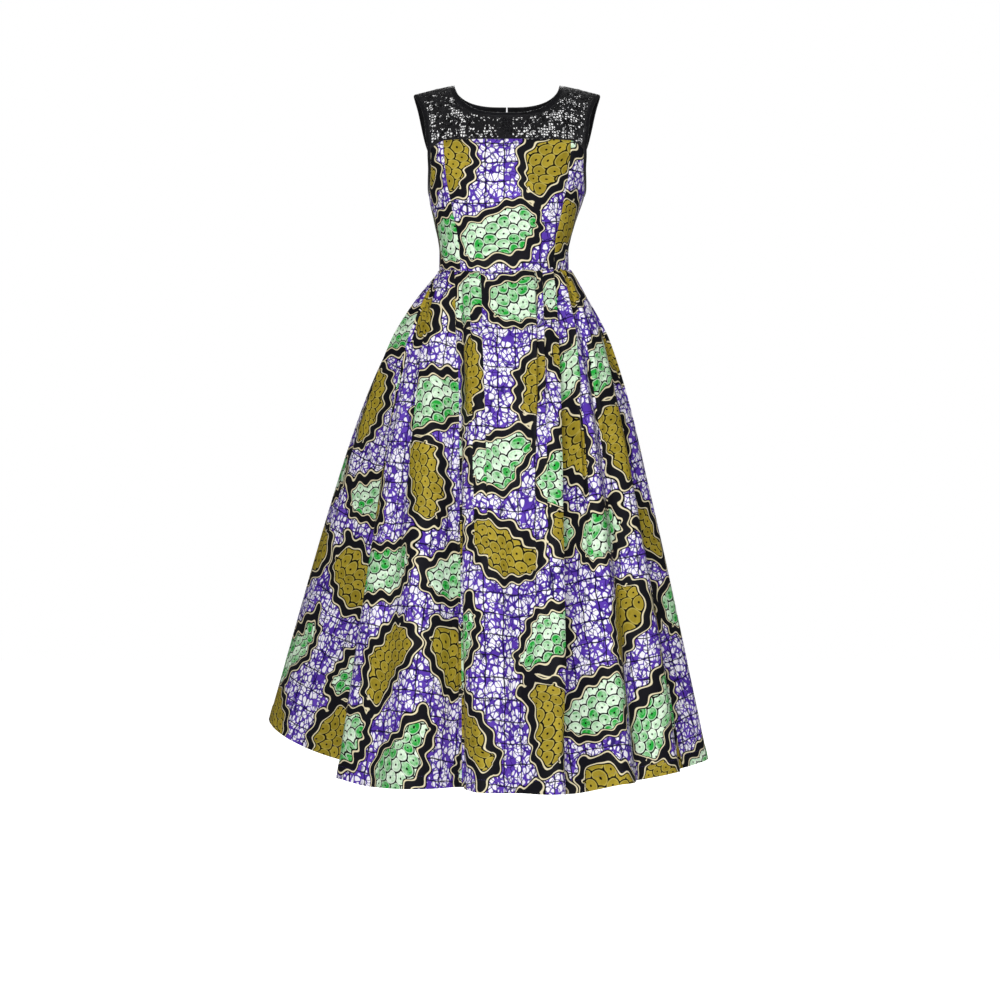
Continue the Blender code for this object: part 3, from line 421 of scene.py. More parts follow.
# Where each panel lies on the print
SIDE_PRINT = {
    "front": {"left": (60.0, 20.0), "right": (330.0, 160.0)},
    "back": {"left": (240.0, 120.0), "right": (500.0, 40.0)},
}
GORE_PRINT = {
    "skirt_back_left": (120.0, 60.0),
    "skirt_side_back_left": (410.0, 190.0),
    "skirt_side_front_left": (250.0, 20.0),
    "skirt_front": (40.0, 120.0),
    "skirt_side_front_right": (520.0, 240.0),
    "skirt_side_back_right": (330.0, 90.0),
    "skirt_back_right": (200.0, 280.0),
}

WHITE = "#F6F3FB"
VIOLET = "#4A2A9C"
VIOLET_LIGHT = "#6847BC"
VIOLET_DARK = "#1C0E58"
NAVY = "#0A0822"
CHARCOAL = "#121218"
INK = "#030304"
CREAM = "#E6DBB6"
GREEN = "#22A63A"
GREEN_PALE = "#E6FAE2"
OLIVE = "#B5A036"
OLIVE_DARK = "#8B7A20"
GREEN_RIM = "#F3FBEE"
OLIVE_RIM = "#C4B55C"
ENAMEL = ("#0B0B0D", "#3A3A40")
FLOOR_TONES = ("#F4F4F4", "#FAFAFA")


def column(rows, names, name):
    return [row[names.index(name)] for row in rows]


def unit(vectors):
    return vectors / np.maximum(np.linalg.norm(vectors, axis=-1, keepdims=True), 1e-9)


def lengths_along(line):
    """Length along a line of points, from its first point to each."""
    return np.concatenate([[0], np.cumsum(np.linalg.norm(np.diff(line, axis=0), axis=1))])


def at_lengths(at, lengths, line):
    """Places on a line of points at given lengths along it."""
    return np.column_stack([np.interp(at, lengths, values) for values in line.T])


# The garment's surfaces, as the solids have them


def smooth_curve(heights, values):
    """A function that runs smoothly through the rows of a table and doesn't overshoot them."""
    xs, ys = np.asarray(heights, float), np.asarray(values, float)
    width = np.diff(xs)
    slope = np.diff(ys) / width
    before, after = slope[:-1], slope[1:]
    same_way = before * after > 0
    total = np.where(same_way, before + after, 1.0)
    inner = np.where(same_way, 2 * before * after / total, 0.0)
    tangent = np.concatenate([slope[:1], inner, slope[-1:]])

    def at(x):
        x = np.clip(x, xs[0], xs[-1])
        k = np.clip(np.searchsorted(xs, x, side="right") - 1, 0, len(width) - 1)
        t = (x - xs[k]) / width[k]
        return (
            ys[k] * (1 + 2 * t) * (1 - t) ** 2
            + ys[k + 1] * t * t * (3 - 2 * t)
            + width[k] * t * (1 - t) * (tangent[k] * (1 - t) - tangent[k + 1] * t)
        )

    return at


HEIGHTS = column(TORSO, TORSO_COLUMNS, "height")
half_width = smooth_curve(HEIGHTS, column(TORSO, TORSO_COLUMNS, "half_width"))
sway = smooth_curve(HEIGHTS, column(TORSO, TORSO_COLUMNS, "shift"))
depth = {side: smooth_curve(HEIGHTS, column(TORSO, TORSO_COLUMNS, side)) for side in ("front", "back")}
OUT = {"front": -1.0, "back": 1.0}
SEAM_HEIGHTS = column(PRINCESS, PRINCESS_COLUMNS, "height")
princess = {side: smooth_curve(SEAM_HEIGHTS, column(PRINCESS, PRINCESS_COLUMNS, side)) for side in OUT}


def ridge(x):
    beyond = np.abs(x) - NECK_HALF
    return RIDGE_TOP - SHOULDER_SLOPE * 0.5 * (beyond + np.hypot(beyond, RIDGE_BLEND))


def across(x, z):
    share = np.minimum(np.abs((x - sway(z)) / half_width(z)), 1.0)
    return (1 - share**SECTION_POWER) ** (1 / SECTION_POWER)


def torso_depth(side, x, z):
    rise = np.clip((ridge(x) - z) / CROWN_DROP, 0, 1)
    crown = np.sqrt(1 - (1 - rise) ** 2)
    return depth[side](z) * across(x, z) * crown


def torso_point(side, x, z):
    x, z = np.broadcast_arrays(np.asarray(x, float), np.asarray(z, float))
    return np.stack([x, OUT[side] * torso_depth(side, x, z), z], axis=-1)


def yoke_point(side, x, turn):
    """The same surface over the shoulder: turn is 0 on the shoulder line and grows down the chest or back."""
    x, turn = np.broadcast_arrays(np.asarray(x, float), np.asarray(turn, float))
    z = ridge(x) - CROWN_DROP * (1 - np.cos(turn))
    y = OUT[side] * depth[side](z) * across(x, z) * np.sin(turn)
    return np.stack([x, y, z], axis=-1)


def turn_at(x, z):
    return np.arccos(np.clip(1 - (ridge(x) - z) / CROWN_DROP, -1, 1))


def turn_of(side, points):
    x, y, z = points.T
    sine = np.abs(y) / (depth[side](z) * across(x, z))
    return np.arctan2(sine, 1 - (ridge(x) - z) / CROWN_DROP)


def section(side, hand, z):
    """Points along a half section from the centre line to the side seam, and the length up to each."""
    angle = np.linspace(0, math.pi / 2, SECTION_POINTS)
    x = sway(z) + hand * half_width(z) * np.sin(angle) ** (2 / SECTION_POWER)
    points = torso_point(side, x, z)
    return points, lengths_along(points)


def side_point(side, hand, share, z):
    """(point, length from the centre line) by the share of the way to the side seam."""
    share, z = np.broadcast_arrays(np.asarray(share, float), np.asarray(z, float))
    flat, run = [], []
    for s, height in zip(share.ravel(), z.ravel()):
        points, length = section(side, hand, height)
        at = s * length[-1]
        flat.append([np.interp(at, length, points[:, k]) for k in range(3)])
        run.append(at)
    return np.array(flat).reshape(*share.shape, 3), np.array(run).reshape(share.shape)


def share_at_x(side, hand, x, z):
    points, length = section(side, hand, z)
    return float(np.interp(hand * x, hand * points[:, 0], length)) / length[-1]


def share_of(side, hand, point):
    x, y, z = point
    middle = torso_depth(side, sway(z), z)
    aside = (abs(x - sway(z)) / half_width(z)) ** (SECTION_POWER / 2)
    ahead = (abs(y) / middle) ** (SECTION_POWER / 2)
    angle = math.atan2(aside, ahead)
    _, length = section(side, hand, z)
    return float(np.interp(angle, np.linspace(0, math.pi / 2, len(length)), length)) / length[-1]


def outward_normals(surface, a, b, step_a, step_b):
    along_a = surface(a + step_a, b) - surface(a - step_a, b)
    along_b = surface(a, b + step_b) - surface(a, b - step_b)
    normal = unit(np.cross(along_a, along_b))
    outward = ((surface(a, b) - TORSO_HEART) * normal).sum(-1, keepdims=True)
    return normal * np.sign(outward)


def armhole_edge(side, hand, share):
    """The armhole's edge, from the shoulder tip at share 0 to the underarm at share 1."""
    angle = np.asarray(share, float) * math.pi
    top = np.cos(angle) >= 0
    power = 2 / np.where(top, ARMHOLE_TOP_POWER, ARMHOLE_BOTTOM_POWER)
    tip = float(ridge(SHOULDER_TIP))
    reach = np.where(top, tip - ARMHOLE_MIDDLE, ARMHOLE_MIDDLE - ARMHOLE_BOTTOM)
    z = ARMHOLE_MIDDLE + np.sign(np.cos(angle)) * reach * np.abs(np.cos(angle)) ** power
    away = ARMHOLE_REACH[side] * np.clip(np.sin(angle), 0, 1) ** power
    near, far = np.full_like(z, INSIDE_ARMHOLE_X), half_width(z) + hand * sway(z)
    for _ in range(HALVINGS):
        middle = (near + far) / 2
        deeper = torso_depth(side, hand * middle, z) > away
        near, far = np.where(deeper, middle, near), np.where(deeper, far, middle)
    return np.stack([hand * (near + far) / 2, OUT[side] * away, z], axis=-1)


def armhole_ring(hand, count):
    """Edge points, surface normals and inward directions round one whole armhole."""
    share = (np.arange(count) + 0.5) / count
    front = armhole_edge("front", hand, share)
    back = armhole_edge("back", hand, share[::-1])
    edge = np.concatenate([front, back])
    normal = []
    for x, y, z in edge:
        side = "front" if y < 0 else "back"
        nudge = 0.5
        slope_x = (torso_depth(side, x + nudge, z) - torso_depth(side, x - nudge, z)) / (2 * nudge)
        slope_z = (torso_depth(side, x, z + nudge) - torso_depth(side, x, z - nudge)) / (2 * nudge)
        lean = np.array([-slope_x, OUT[side], -slope_z])
        share = abs(y) / ARMHOLE_ROUND_OVER
        if share < 1:
            flat = np.array([hand, 0, 0]) if z < ARMHOLE_MIDDLE else np.array([hand * SHOULDER_SLOPE, 0, 1])
            lean = unit(lean) * share + flat * (1 - share)
        normal.append(unit(lean))
    normal = np.array(normal)
    tangent = np.roll(edge, -1, axis=0) - np.roll(edge, 1, axis=0)
    inward = unit(np.cross(normal, tangent))
    middle = np.array([hand * ARMHOLE_CENTRE_X, 0, ARMHOLE_MIDDLE])
    inward *= np.sign(((edge - middle) * inward).sum(1, keepdims=True))
    return edge, normal, inward


def on_torso(side, hand, point):
    if point[2] > YOKE_CORNER[side]:
        return yoke_point(side, point[0], turn_of(side, point[None])[0])
    return side_point(side, hand, share_of(side, hand, point), point[2])[0]


def armhole_line(hand, inset):
    edge, normal, inward = armhole_ring(hand, ARMHOLE_POINTS)
    moved = edge + inward * inset
    sides = ["front"] * ARMHOLE_POINTS + ["back"] * ARMHOLE_POINTS
    return np.array([on_torso(side, hand, point) for side, point in zip(sides, moved)]), normal


def armhole_inner_line(side, hand):
    """Where panels meet the armhole binding, from the shoulder line down to the side seam."""
    line, _ = armhole_line(hand, ARMHOLE_BINDING)
    top = (line[0] + line[-1]) / 2
    bottom = (line[ARMHOLE_POINTS - 1] + line[ARMHOLE_POINTS]) / 2
    half = line[:ARMHOLE_POINTS] if side == "front" else line[ARMHOLE_POINTS:][::-1]
    return np.concatenate([[top], half, [bottom]])


def neck_turn(side):
    drop = FRONT_NECK_DROP if side == "front" else BACK_NECK_DROP
    return float(turn_at(0.0, -drop))


def neck_line(side, inset, count):
    """(x, turn) along the neckline from the right shoulder to the left, moved into the cloth by inset."""
    angle = np.linspace(0, math.pi, count)
    power = 2 / NECK_POWER
    x = NECK_HALF * np.sign(np.cos(angle)) * np.abs(np.cos(angle)) ** power
    turn = neck_turn(side) * np.sin(angle) ** power
    step = 1e-3
    run_x = (yoke_point(side, x + step, turn) - yoke_point(side, x - step, turn)) / (2 * step)
    run_t = (yoke_point(side, x, turn + step) - yoke_point(side, x, turn - step)) / (2 * step)
    tangent = np.stack([np.gradient(x), np.gradient(turn)], axis=1)
    tangent[0] = tangent[-1] = (0, 1)
    moved = []
    for k in range(count):
        shape = np.stack([run_x[k], run_t[k]], axis=1)
        metric = shape.T @ shape
        sideways = np.linalg.solve(metric, np.array([-tangent[k][1], tangent[k][0]]))
        sideways /= math.sqrt(sideways @ metric @ sideways)
        if sideways @ np.array([x[k], turn[k] + 0.1]) < 0:
            sideways = -sideways
        moved.append([x[k], turn[k]] + sideways * inset)
    return np.array(moved)


def inside(polygon, points):
    hit = np.zeros(len(points), bool)
    for (x0, y0), (x1, y1) in zip(polygon, np.roll(polygon, -1, axis=0)):
        crosses = (y0 > points[:, 1]) != (y1 > points[:, 1])
        slope = (x1 - x0) / (y1 - y0 if y1 != y0 else 1e-12)
        hit ^= crosses & (points[:, 0] < x0 + slope * (points[:, 1] - y0))
    return hit


def distance_to(line, points, closed=True):
    """Distance of each point from a line of points, which comes back to its start when it is closed."""
    best = np.full(points.shape[:-1], np.inf)
    for start, end in zip(line, np.roll(line, -1, axis=0) if closed else line[1:]):
        run = end - start
        t = np.clip((points - start) @ run / max(run @ run, 1e-9), 0, 1)
        best = np.minimum(best, np.linalg.norm(points - start - t[..., None] * run, axis=-1))
    return best


def lattice(outline, pitch):
    low, high = outline.min(0), outline.max(0)
    rows = int(math.ceil((high[1] - low[1]) / (pitch * STAGGER))) + 1
    reach = int(math.ceil(max(abs(low[0]), abs(high[0])) / pitch)) + 1
    return np.array(
        [
            ((c + 0.5 * (r % 2)) * pitch, low[1] + r * pitch * STAGGER)
            for r in range(rows)
            for c in range(-reach - 1, reach + 1)
        ]
    )


def yoke_seam_line(side, count):
    """(x, z) along the yoke's lower seam from the left armhole to the right one."""
    corner = YOKE_CORNER[side]
    line = armhole_inner_line(side, 1)
    corner_x = float(np.interp(-corner, -line[:, 2], line[:, 0]))
    bend = float(princess[side](YOKE_SEAM[side]))
    x = np.linspace(-bend, bend, count)
    z = np.full(count, YOKE_SEAM[side])
    slant = np.linspace(0, 1, YOKE_SLANT_POINTS)[1:]
    outer_x = bend + (corner_x - bend) * slant
    outer_z = YOKE_SEAM[side] + (corner - YOKE_SEAM[side]) * slant**YOKE_SLANT_POWER
    x = np.concatenate([-outer_x[::-1], x, outer_x])
    z = np.concatenate([outer_z[::-1], z, outer_z])
    return x, z


def zip_edge(arc):
    """Half the opening between the back edges, by the distance down from the neck edge."""
    open_share = np.clip(1 - arc / ZIP_MOUTH_LENGTH, 0, 1)
    return SEAM_GAP / 2 + (ZIP_MOUTH - SEAM_GAP / 2) * open_share**0.5


def yoke_outline(side, hand=0):
    """The yoke's cut edge in (x, turn x TURN_SCALE). With a hand, only that half of a split back."""
    start = SEAM_GAP / 2 / TURN_SCALE
    neck = neck_line(side, NECK_BINDING, NECK_POINTS)
    neck[0, 1] = neck[-1, 1] = start
    seam_x, seam_z = yoke_seam_line(side, YOKE_SEAM_POINTS)
    seam = np.stack([seam_x, turn_at(seam_x, seam_z)], axis=1)
    arm = {}
    for h in (-1, 1):
        line = armhole_inner_line(side, h)
        line = line[line[:, 2] > YOKE_CORNER[side] + SEAM_GAP]
        turns = turn_of(side, line)
        turns[0] = start
        arm[h] = np.stack([line[:, 0], turns], axis=1)
    if hand == 0:
        parts = [neck, arm[-1], seam, arm[1][::-1]]
    else:
        top = neck_turn(side) + NECK_BINDING / TURN_SCALE
        low = float(turn_at(0.0, YOKE_SEAM[side]))
        turns = np.linspace(low, top, ZIP_EDGE_POINTS)
        edge = np.stack([hand * zip_edge((turns - top) * TURN_SCALE), turns], axis=1)
        half_neck = neck[neck[:, 0] * hand > 2 * ZIP_MOUTH]
        half_seam = seam[seam[:, 0] * hand > 2 * ZIP_MOUTH]
        if hand > 0:
            parts = [half_neck[::-1], arm[1], half_seam[::-1], edge]
        else:
            parts = [half_neck, arm[-1], half_seam, edge]
    outline = np.concatenate(parts)
    outline[:, 1] *= TURN_SCALE
    return outline


FOLD_ANGLES = column(FOLDS, FOLD_COLUMNS, "waist_angle")


def between_folds(angle, name):
    number = np.interp(angle, FOLD_ANGLES, np.arange(len(FOLDS)))
    first = np.minimum(number.astype(int), len(FOLDS) - 2)
    share = 0.5 - 0.5 * np.cos(math.pi * (number - first))
    values = np.array(column(FOLDS, FOLD_COLUMNS, name), float)
    return values[first] * (1 - share) + values[first + 1] * share


def waist_point(angle):
    turned = np.radians(angle)
    size = 2 / SECTION_POWER
    x = half_width(WAIST_Z) * np.sign(np.sin(turned)) * np.abs(np.sin(turned)) ** size
    deep = np.where(np.cos(turned) > 0, depth["front"](WAIST_Z), depth["back"](WAIST_Z))
    y = -deep * np.sign(np.cos(turned)) * np.abs(np.cos(turned)) ** size
    return np.stack([sway(WAIST_Z) + x, y], axis=-1)


def waist_dip(y):
    """How far below WAIST_Z the waist seam hangs: most at the centre front, nothing from the sides back."""
    return WAIST_DIP * np.clip(-y / depth["front"](WAIST_Z), 0, 1) ** 2


def flare(down):
    kick = (1 - np.exp(-down / FLARE_KICK_DEPTH)) / (1 - math.exp(-1 / FLARE_KICK_DEPTH))
    return (1 - FLARE_KICK) * down + FLARE_KICK * kick


def skirt_drop(reach, cut_length):
    steps = np.linspace(0, 1, DROP_STEPS)
    out = np.diff(flare(steps))[None, :] * reach[:, None]
    drop = cut_length
    for _ in range(DROP_ROUNDS):
        length = np.hypot(out, drop[:, None] / (len(steps) - 1)).sum(1)
        drop = drop * cut_length / length
    return drop


def pleat_height(down):
    grow = np.clip(down / PLEAT_PEAK, 0, 1)
    fade = np.clip((PLEAT_END - down) / (PLEAT_END - PLEAT_PEAK), 0, 1)
    return (PLEAT_DEPTH_AT_WAIST + (PLEAT_DEPTH - PLEAT_DEPTH_AT_WAIST) * grow) * fade**PLEAT_FADE_POWER


def pleat_lift(angle, down):
    """How far the pressed pleats stand out: each rises gently to its folded edge and ends sharply there."""
    lift = np.zeros_like(angle, float)
    for at, faces in PLEATS:
        before = (at - angle) * faces
        rising = np.clip(1 - before / PLEAT_SPAN, 0, 1) ** PLEAT_RISE_POWER * (before >= 0)
        falling = np.clip(1 + before / PLEAT_LIP, 0, 1) * (before < 0)
        lift = np.maximum(lift, rising + falling)
    return pleat_height(down) * lift


def skirt_grid(angles, downs):
    """Points of the skirt for waist angles (columns) and shares of the drop (rows)."""
    waist = waist_point(angles)
    turned = np.radians(np.interp(angles, FOLD_ANGLES, column(FOLDS, FOLD_COLUMNS, "hem_angle")))
    radius = between_folds(angles, "hem_radius")
    hem = np.stack([radius * np.sin(turned), -radius * np.cos(turned)], axis=1)
    reach = hem - waist
    drop = skirt_drop(np.linalg.norm(reach, axis=1), between_folds(angles, "length"))
    away = unit(waist)
    rows = []
    for down in downs:
        plan = waist + reach * flare(down) + away * pleat_lift(angles, down)[:, None]
        rows.append(np.column_stack([plan, WAIST_Z - waist_dip(waist[:, 1]) * (1 - down) - drop * down]))
    return np.array(rows)


def grid_normals(points, closed=False):
    """Outward unit normals of a grid of points, halfway between those of its faces."""
    face = unit(np.cross(points[1:, :-1] - points[:-1, 1:], points[1:, 1:] - points[:-1, :-1]))
    left, right = (face[:, -1:], face[:, :1]) if closed else (face[:, :1], face[:, -1:])
    wide = np.concatenate([left, face, right], axis=1)
    tall = np.concatenate([wide[:1], wide, wide[-1:]], axis=0)
    normal = unit(tall[1:, 1:] + tall[:-1, 1:] + tall[1:, :-1] + tall[:-1, :-1])
    inwards = ((points - points.reshape(-1, 3).mean(0)) * normal).sum() < 0
    return -normal if inwards else normal


# Meshes


def spread(length, pitch):
    """Shares from 0 to 1 along a panel of this length, closer together near both seams."""
    near = np.array(SEAM_STEPS)
    middle = np.linspace(near[-1], length - near[-1], max(2, int((length - 2 * near[-1]) / pitch) + 1))
    return np.concatenate([near[:-1], middle, length - near[:-1][::-1]]) / length


def mesh_object(name, points, faces, uvs, look, smooth_angle=40):
    """A mesh from points in millimetres, faces, and one UV pair in metres for each corner of each face."""
    mesh = bpy.data.meshes.new(name)
    mesh.from_pydata((np.asarray(points) * MM).tolist(), [], faces)
    layer = mesh.uv_layers.new(name="cloth")
    layer.data.foreach_set("uv", np.asarray(uvs, np.float32).ravel())
    mesh.shade_smooth()
    mesh.set_sharp_from_angle(angle=math.radians(smooth_angle))
    mesh.materials.append(look)
    made = bpy.data.objects.new(name, mesh)
    bpy.context.scene.collection.objects.link(made)
    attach(made, DRESS)
    return made


def shell(name, points, thickness, uv, look, strip_shift=None):
    """Printed cloth as a thin shell on a grid of points: outer side, inner side and a rim round the open edges.
    strip_shift[row, strip] moves the print sideways on each strip of faces, where a pleat hides cloth."""
    rows, columns = points.shape[:2]
    normals = grid_normals(points)
    half = (np.broadcast_to(thickness, (rows, columns)) / 2)[..., None]
    both = np.concatenate([(points + normals * half).reshape(-1, 3), (points - normals * half).reshape(-1, 3)])
    r, c = (a.ravel() for a in np.meshgrid(np.arange(rows - 1), np.arange(columns - 1), indexing="ij"))
    corners = [(r, c), (r + 1, c), (r + 1, c + 1), (r, c + 1)]
    quads = np.stack([cr * columns + cc for cr, cc in corners], axis=1)
    first = both[quads[:, 1]] - both[quads[:, 0]]
    second = both[quads[:, 3]] - both[quads[:, 0]]
    if (np.cross(first, second) * normals.reshape(-1, 3)[quads[:, 0]]).sum() < 0:
        corners = corners[::-1]
        quads = quads[:, ::-1]
    moved = uv.reshape(-1, 2)[quads].copy()
    if strip_shift is not None:
        for k, (cr, _) in enumerate(corners):
            moved[:, k, 0] += strip_shift[cr, c]
    count = rows * columns
    border = {}
    for k in range(4):
        for face, (i, j) in enumerate(zip(quads[:, k].tolist(), quads[:, (k + 1) % 4].tolist())):
            if (j, i) in border:
                del border[(j, i)]
            else:
                border[(i, j)] = (face, k)
    rim, rim_uv = [], []
    for (i, j), (face, k) in border.items():
        rim.append((j, i, count + i, count + j))
        a, b = moved[face, (k + 1) % 4], moved[face, k]
        rim_uv += [a, b, b, a]
    faces = quads.tolist() + (quads[:, ::-1] + count).tolist() + rim
    uvs = np.concatenate([moved.reshape(-1, 2), moved[:, ::-1].reshape(-1, 2), np.array(rim_uv)])
    return mesh_object(name, both, faces, uvs * MM, look)


def declare(node):
    """Hides the solid that a sheet stands for."""
    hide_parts(node)


def run_length(points, axis):
    """Length along a grid's rows (axis 1) or columns (axis 0), from its first point to each."""
    steps = np.linalg.norm(np.diff(points, axis=axis), axis=-1)
    zero = np.zeros_like(np.take(steps, [0], axis=axis))
    return np.concatenate([zero, np.cumsum(steps, axis=axis)], axis=axis)


def seam_press(*distances):
    """How far cloth is drawn in beside its seams, from its distances to them."""
    nearest = np.minimum.reduce(distances)
    return -SEAM_DEPTH * np.exp(-((nearest / SEAM_WIDTH) ** 2))


def bodice_creases(side, points):
    total = np.zeros(points.shape[:2])
    for name, x0, z0, x1, z1, width, deep in BODICE_CREASES:
        if name != side:
            continue
        run = np.array([x1 - x0, z1 - z0], float)
        at = points[..., [0, 2]] - (x0, z0)
        along = np.clip((at @ run) / (run @ run), 0, 1)
        gap = np.linalg.norm(at - along[..., None] * run, axis=-1)
        fade = np.sin(math.pi * np.clip(along, CREASE_START, 1 - CREASE_START)) ** BODICE_CREASE_POWER
        total += deep * np.exp(-((gap / width) ** 2)) * fade
    return total


def pushed(points, amount, closed=False):
    return points + grid_normals(points, closed) * amount[..., None]


def centre_panel(node, side, first, last, offset, look):
    """A bodice panel between two seams given in x as functions of height."""
    top = YOKE_SEAM[side]
    shares = spread(last(WAIST_Z / 2) - first(WAIST_Z / 2), BODICE_PITCH)
    at_waist = first(WAIST_Z) + (last(WAIST_Z) - first(WAIST_Z)) * shares
    bottom = WAIST_Z - waist_dip(torso_point(side, at_waist, WAIST_Z)[:, 1])
    z = top + (bottom - top) * spread(top - WAIST_Z, BODICE_PITCH)[:, None]
    x = first(z) + (last(z) - first(z)) * shares
    points = torso_point(side, x, z)
    run = run_length(points, 1)
    fall = run_length(points, 0)
    press = seam_press(run, run[:, -1:] - run, fall, fall[-1:] - fall)
    shaped = pushed(points, press + bodice_creases(side, points))
    u = run - np.array([np.interp(0, across_x, along) for across_x, along in zip(x, run)])[:, None]
    uv = np.stack([u + offset[0], fall[-1:] - fall + offset[1]], axis=-1)
    piece = shell("cloth_" + node, shaped, COTTON, uv, look)
    declare(node)


def side_panel(node, side, hand, offset, look):
    """A bodice panel from a princess seam to the side seam, cut away at the armhole."""

    def seam_share(z):
        return share_at_x(side, hand, hand * float(princess[side](z)), z)

    line = armhole_inner_line(side, hand)
    line = line[line[:, 2] < YOKE_CORNER[side]]
    arm = np.array([(share_of(side, hand, point), point[2]) for point in line])
    arm[-1, 0] = 1
    seam_x, seam_z = yoke_seam_line(side, 3)
    slant = [(hand * x, z) for x, z in zip(seam_x, seam_z) if x >= princess[side](z) - 1e-6]
    yoke = np.array([(share_at_x(side, hand, x, z), z) for x, z in slant])

    def place(pairs):
        lows = np.array([seam_share(z) for _, z in pairs])
        return np.column_stack([(pairs[:, 0] - lows) / (1 - lows), pairs[:, 1]])

    arm, yoke = place(arm), place(yoke)
    yoke[0, 0] = 0
    top = np.concatenate([yoke, arm[arm[:, 0] > yoke[-1, 0] + 1e-4]])
    length = lengths_along(top * (SIDE_PANEL_WIDTH, 1))
    columns, tops = at_lengths(spread(length[-1], BODICE_PITCH) * length[-1], length, top).T
    downs = spread(YOKE_CORNER[side] - WAIST_Z, BODICE_PITCH)
    low = seam_share(WAIST_Z)
    bottom = WAIST_Z - waist_dip(side_point(side, hand, low + (1 - low) * columns, WAIST_Z)[0][:, 1])
    heights = tops + (bottom - tops) * downs[:, None]
    known = np.linspace(WAIST_Z, YOKE_SEAM[side], SIDE_PANEL_HEIGHTS)
    lows = np.interp(heights, known, [seam_share(z) for z in known])
    shares = lows + (1 - lows) * columns
    points, run = side_point(side, hand, shares, heights)
    from_seam = run - np.interp(heights, known, [seam_length(side, hand, z) for z in known])
    to_side = np.interp(heights, known, [section(side, hand, z)[1][-1] for z in known]) - run
    fall = run_length(points, 0)
    from_top = np.minimum(fall, distance_to(points[0], points, closed=False))
    press = seam_press(from_seam, to_side, from_top, fall[-1:] - fall)
    shaped = pushed(points, press + bodice_creases(side, points))
    uv = np.stack([hand * from_seam + offset[0], heights - WAIST_Z + offset[1]], axis=-1)
    piece = shell("cloth_" + node, shaped, COTTON, uv, look)
    declare(node)


def seam_length(side, hand, z):
    points, length = section(side, hand, z)
    return float(np.interp(float(princess[side](z)), hand * points[:, 0], length))


# Lace


def sprigs(outline):
    """Middles of the lace sprigs, and the turn of each."""
    hearts = lattice(outline, SPRIG_PITCH) + (0, SPRIG_START)
    hearts = hearts[inside(outline, hearts)]
    hearts = hearts[distance_to(outline, hearts) > SPRIG_CLEARANCE]
    return hearts, SPRIG_TURN * np.arange(len(hearts))


def chance(i, j, salt):
    """A number from 0 to 1 that is always the same for the same cell."""
    return np.modf(np.abs(np.sin(i * 127.1 + j * 311.7 + salt * 74.7) * 43758.5453))[0]


def net(at):
    """Distance from the nearest thread's edge of an uneven net: below 0 in its holes."""
    home = np.floor(at / NET_PITCH)

    def middle(i, j):
        jitter = np.column_stack([chance(i, j, 1), chance(i, j, 2)]) - 0.5
        return (np.column_stack([i, j]) + 0.5 + 2 * NET_JITTER * jitter) * NET_PITCH

    around = [(i, j) for i in (-2, -1, 0, 1, 2) for j in (-2, -1, 0, 1, 2)]
    middles = np.stack([middle(home[:, 0] + i, home[:, 1] + j) for i, j in around], axis=1)
    away = np.linalg.norm(middles - at[:, None], axis=2)
    own = middles[np.arange(len(at)), away.argmin(1)]
    across_gap = middles - own[:, None]
    length = np.linalg.norm(across_gap, axis=2)
    halfway = (middles + own[:, None]) / 2
    to_edge = ((halfway - at[:, None]) * across_gap).sum(2) / np.maximum(length, 1e-9)
    to_edge[length < 1e-6] = np.inf
    return NET_THREAD / 2 - to_edge.min(1)


def oval(x, y, turn, out, half_long, half_wide):
    """Distance to the edge of an oval whose middle lies out along the direction turn: below 0 inside."""
    along = x * math.cos(turn) + y * math.sin(turn) - out
    aside = y * math.cos(turn) - x * math.sin(turn)
    wide = half_wide * (1 + OVAL_EGG * np.clip(along / half_long, -1, 1))
    return (np.sqrt((along / half_long) ** 2 + (aside / wide) ** 2) - 1) * half_wide


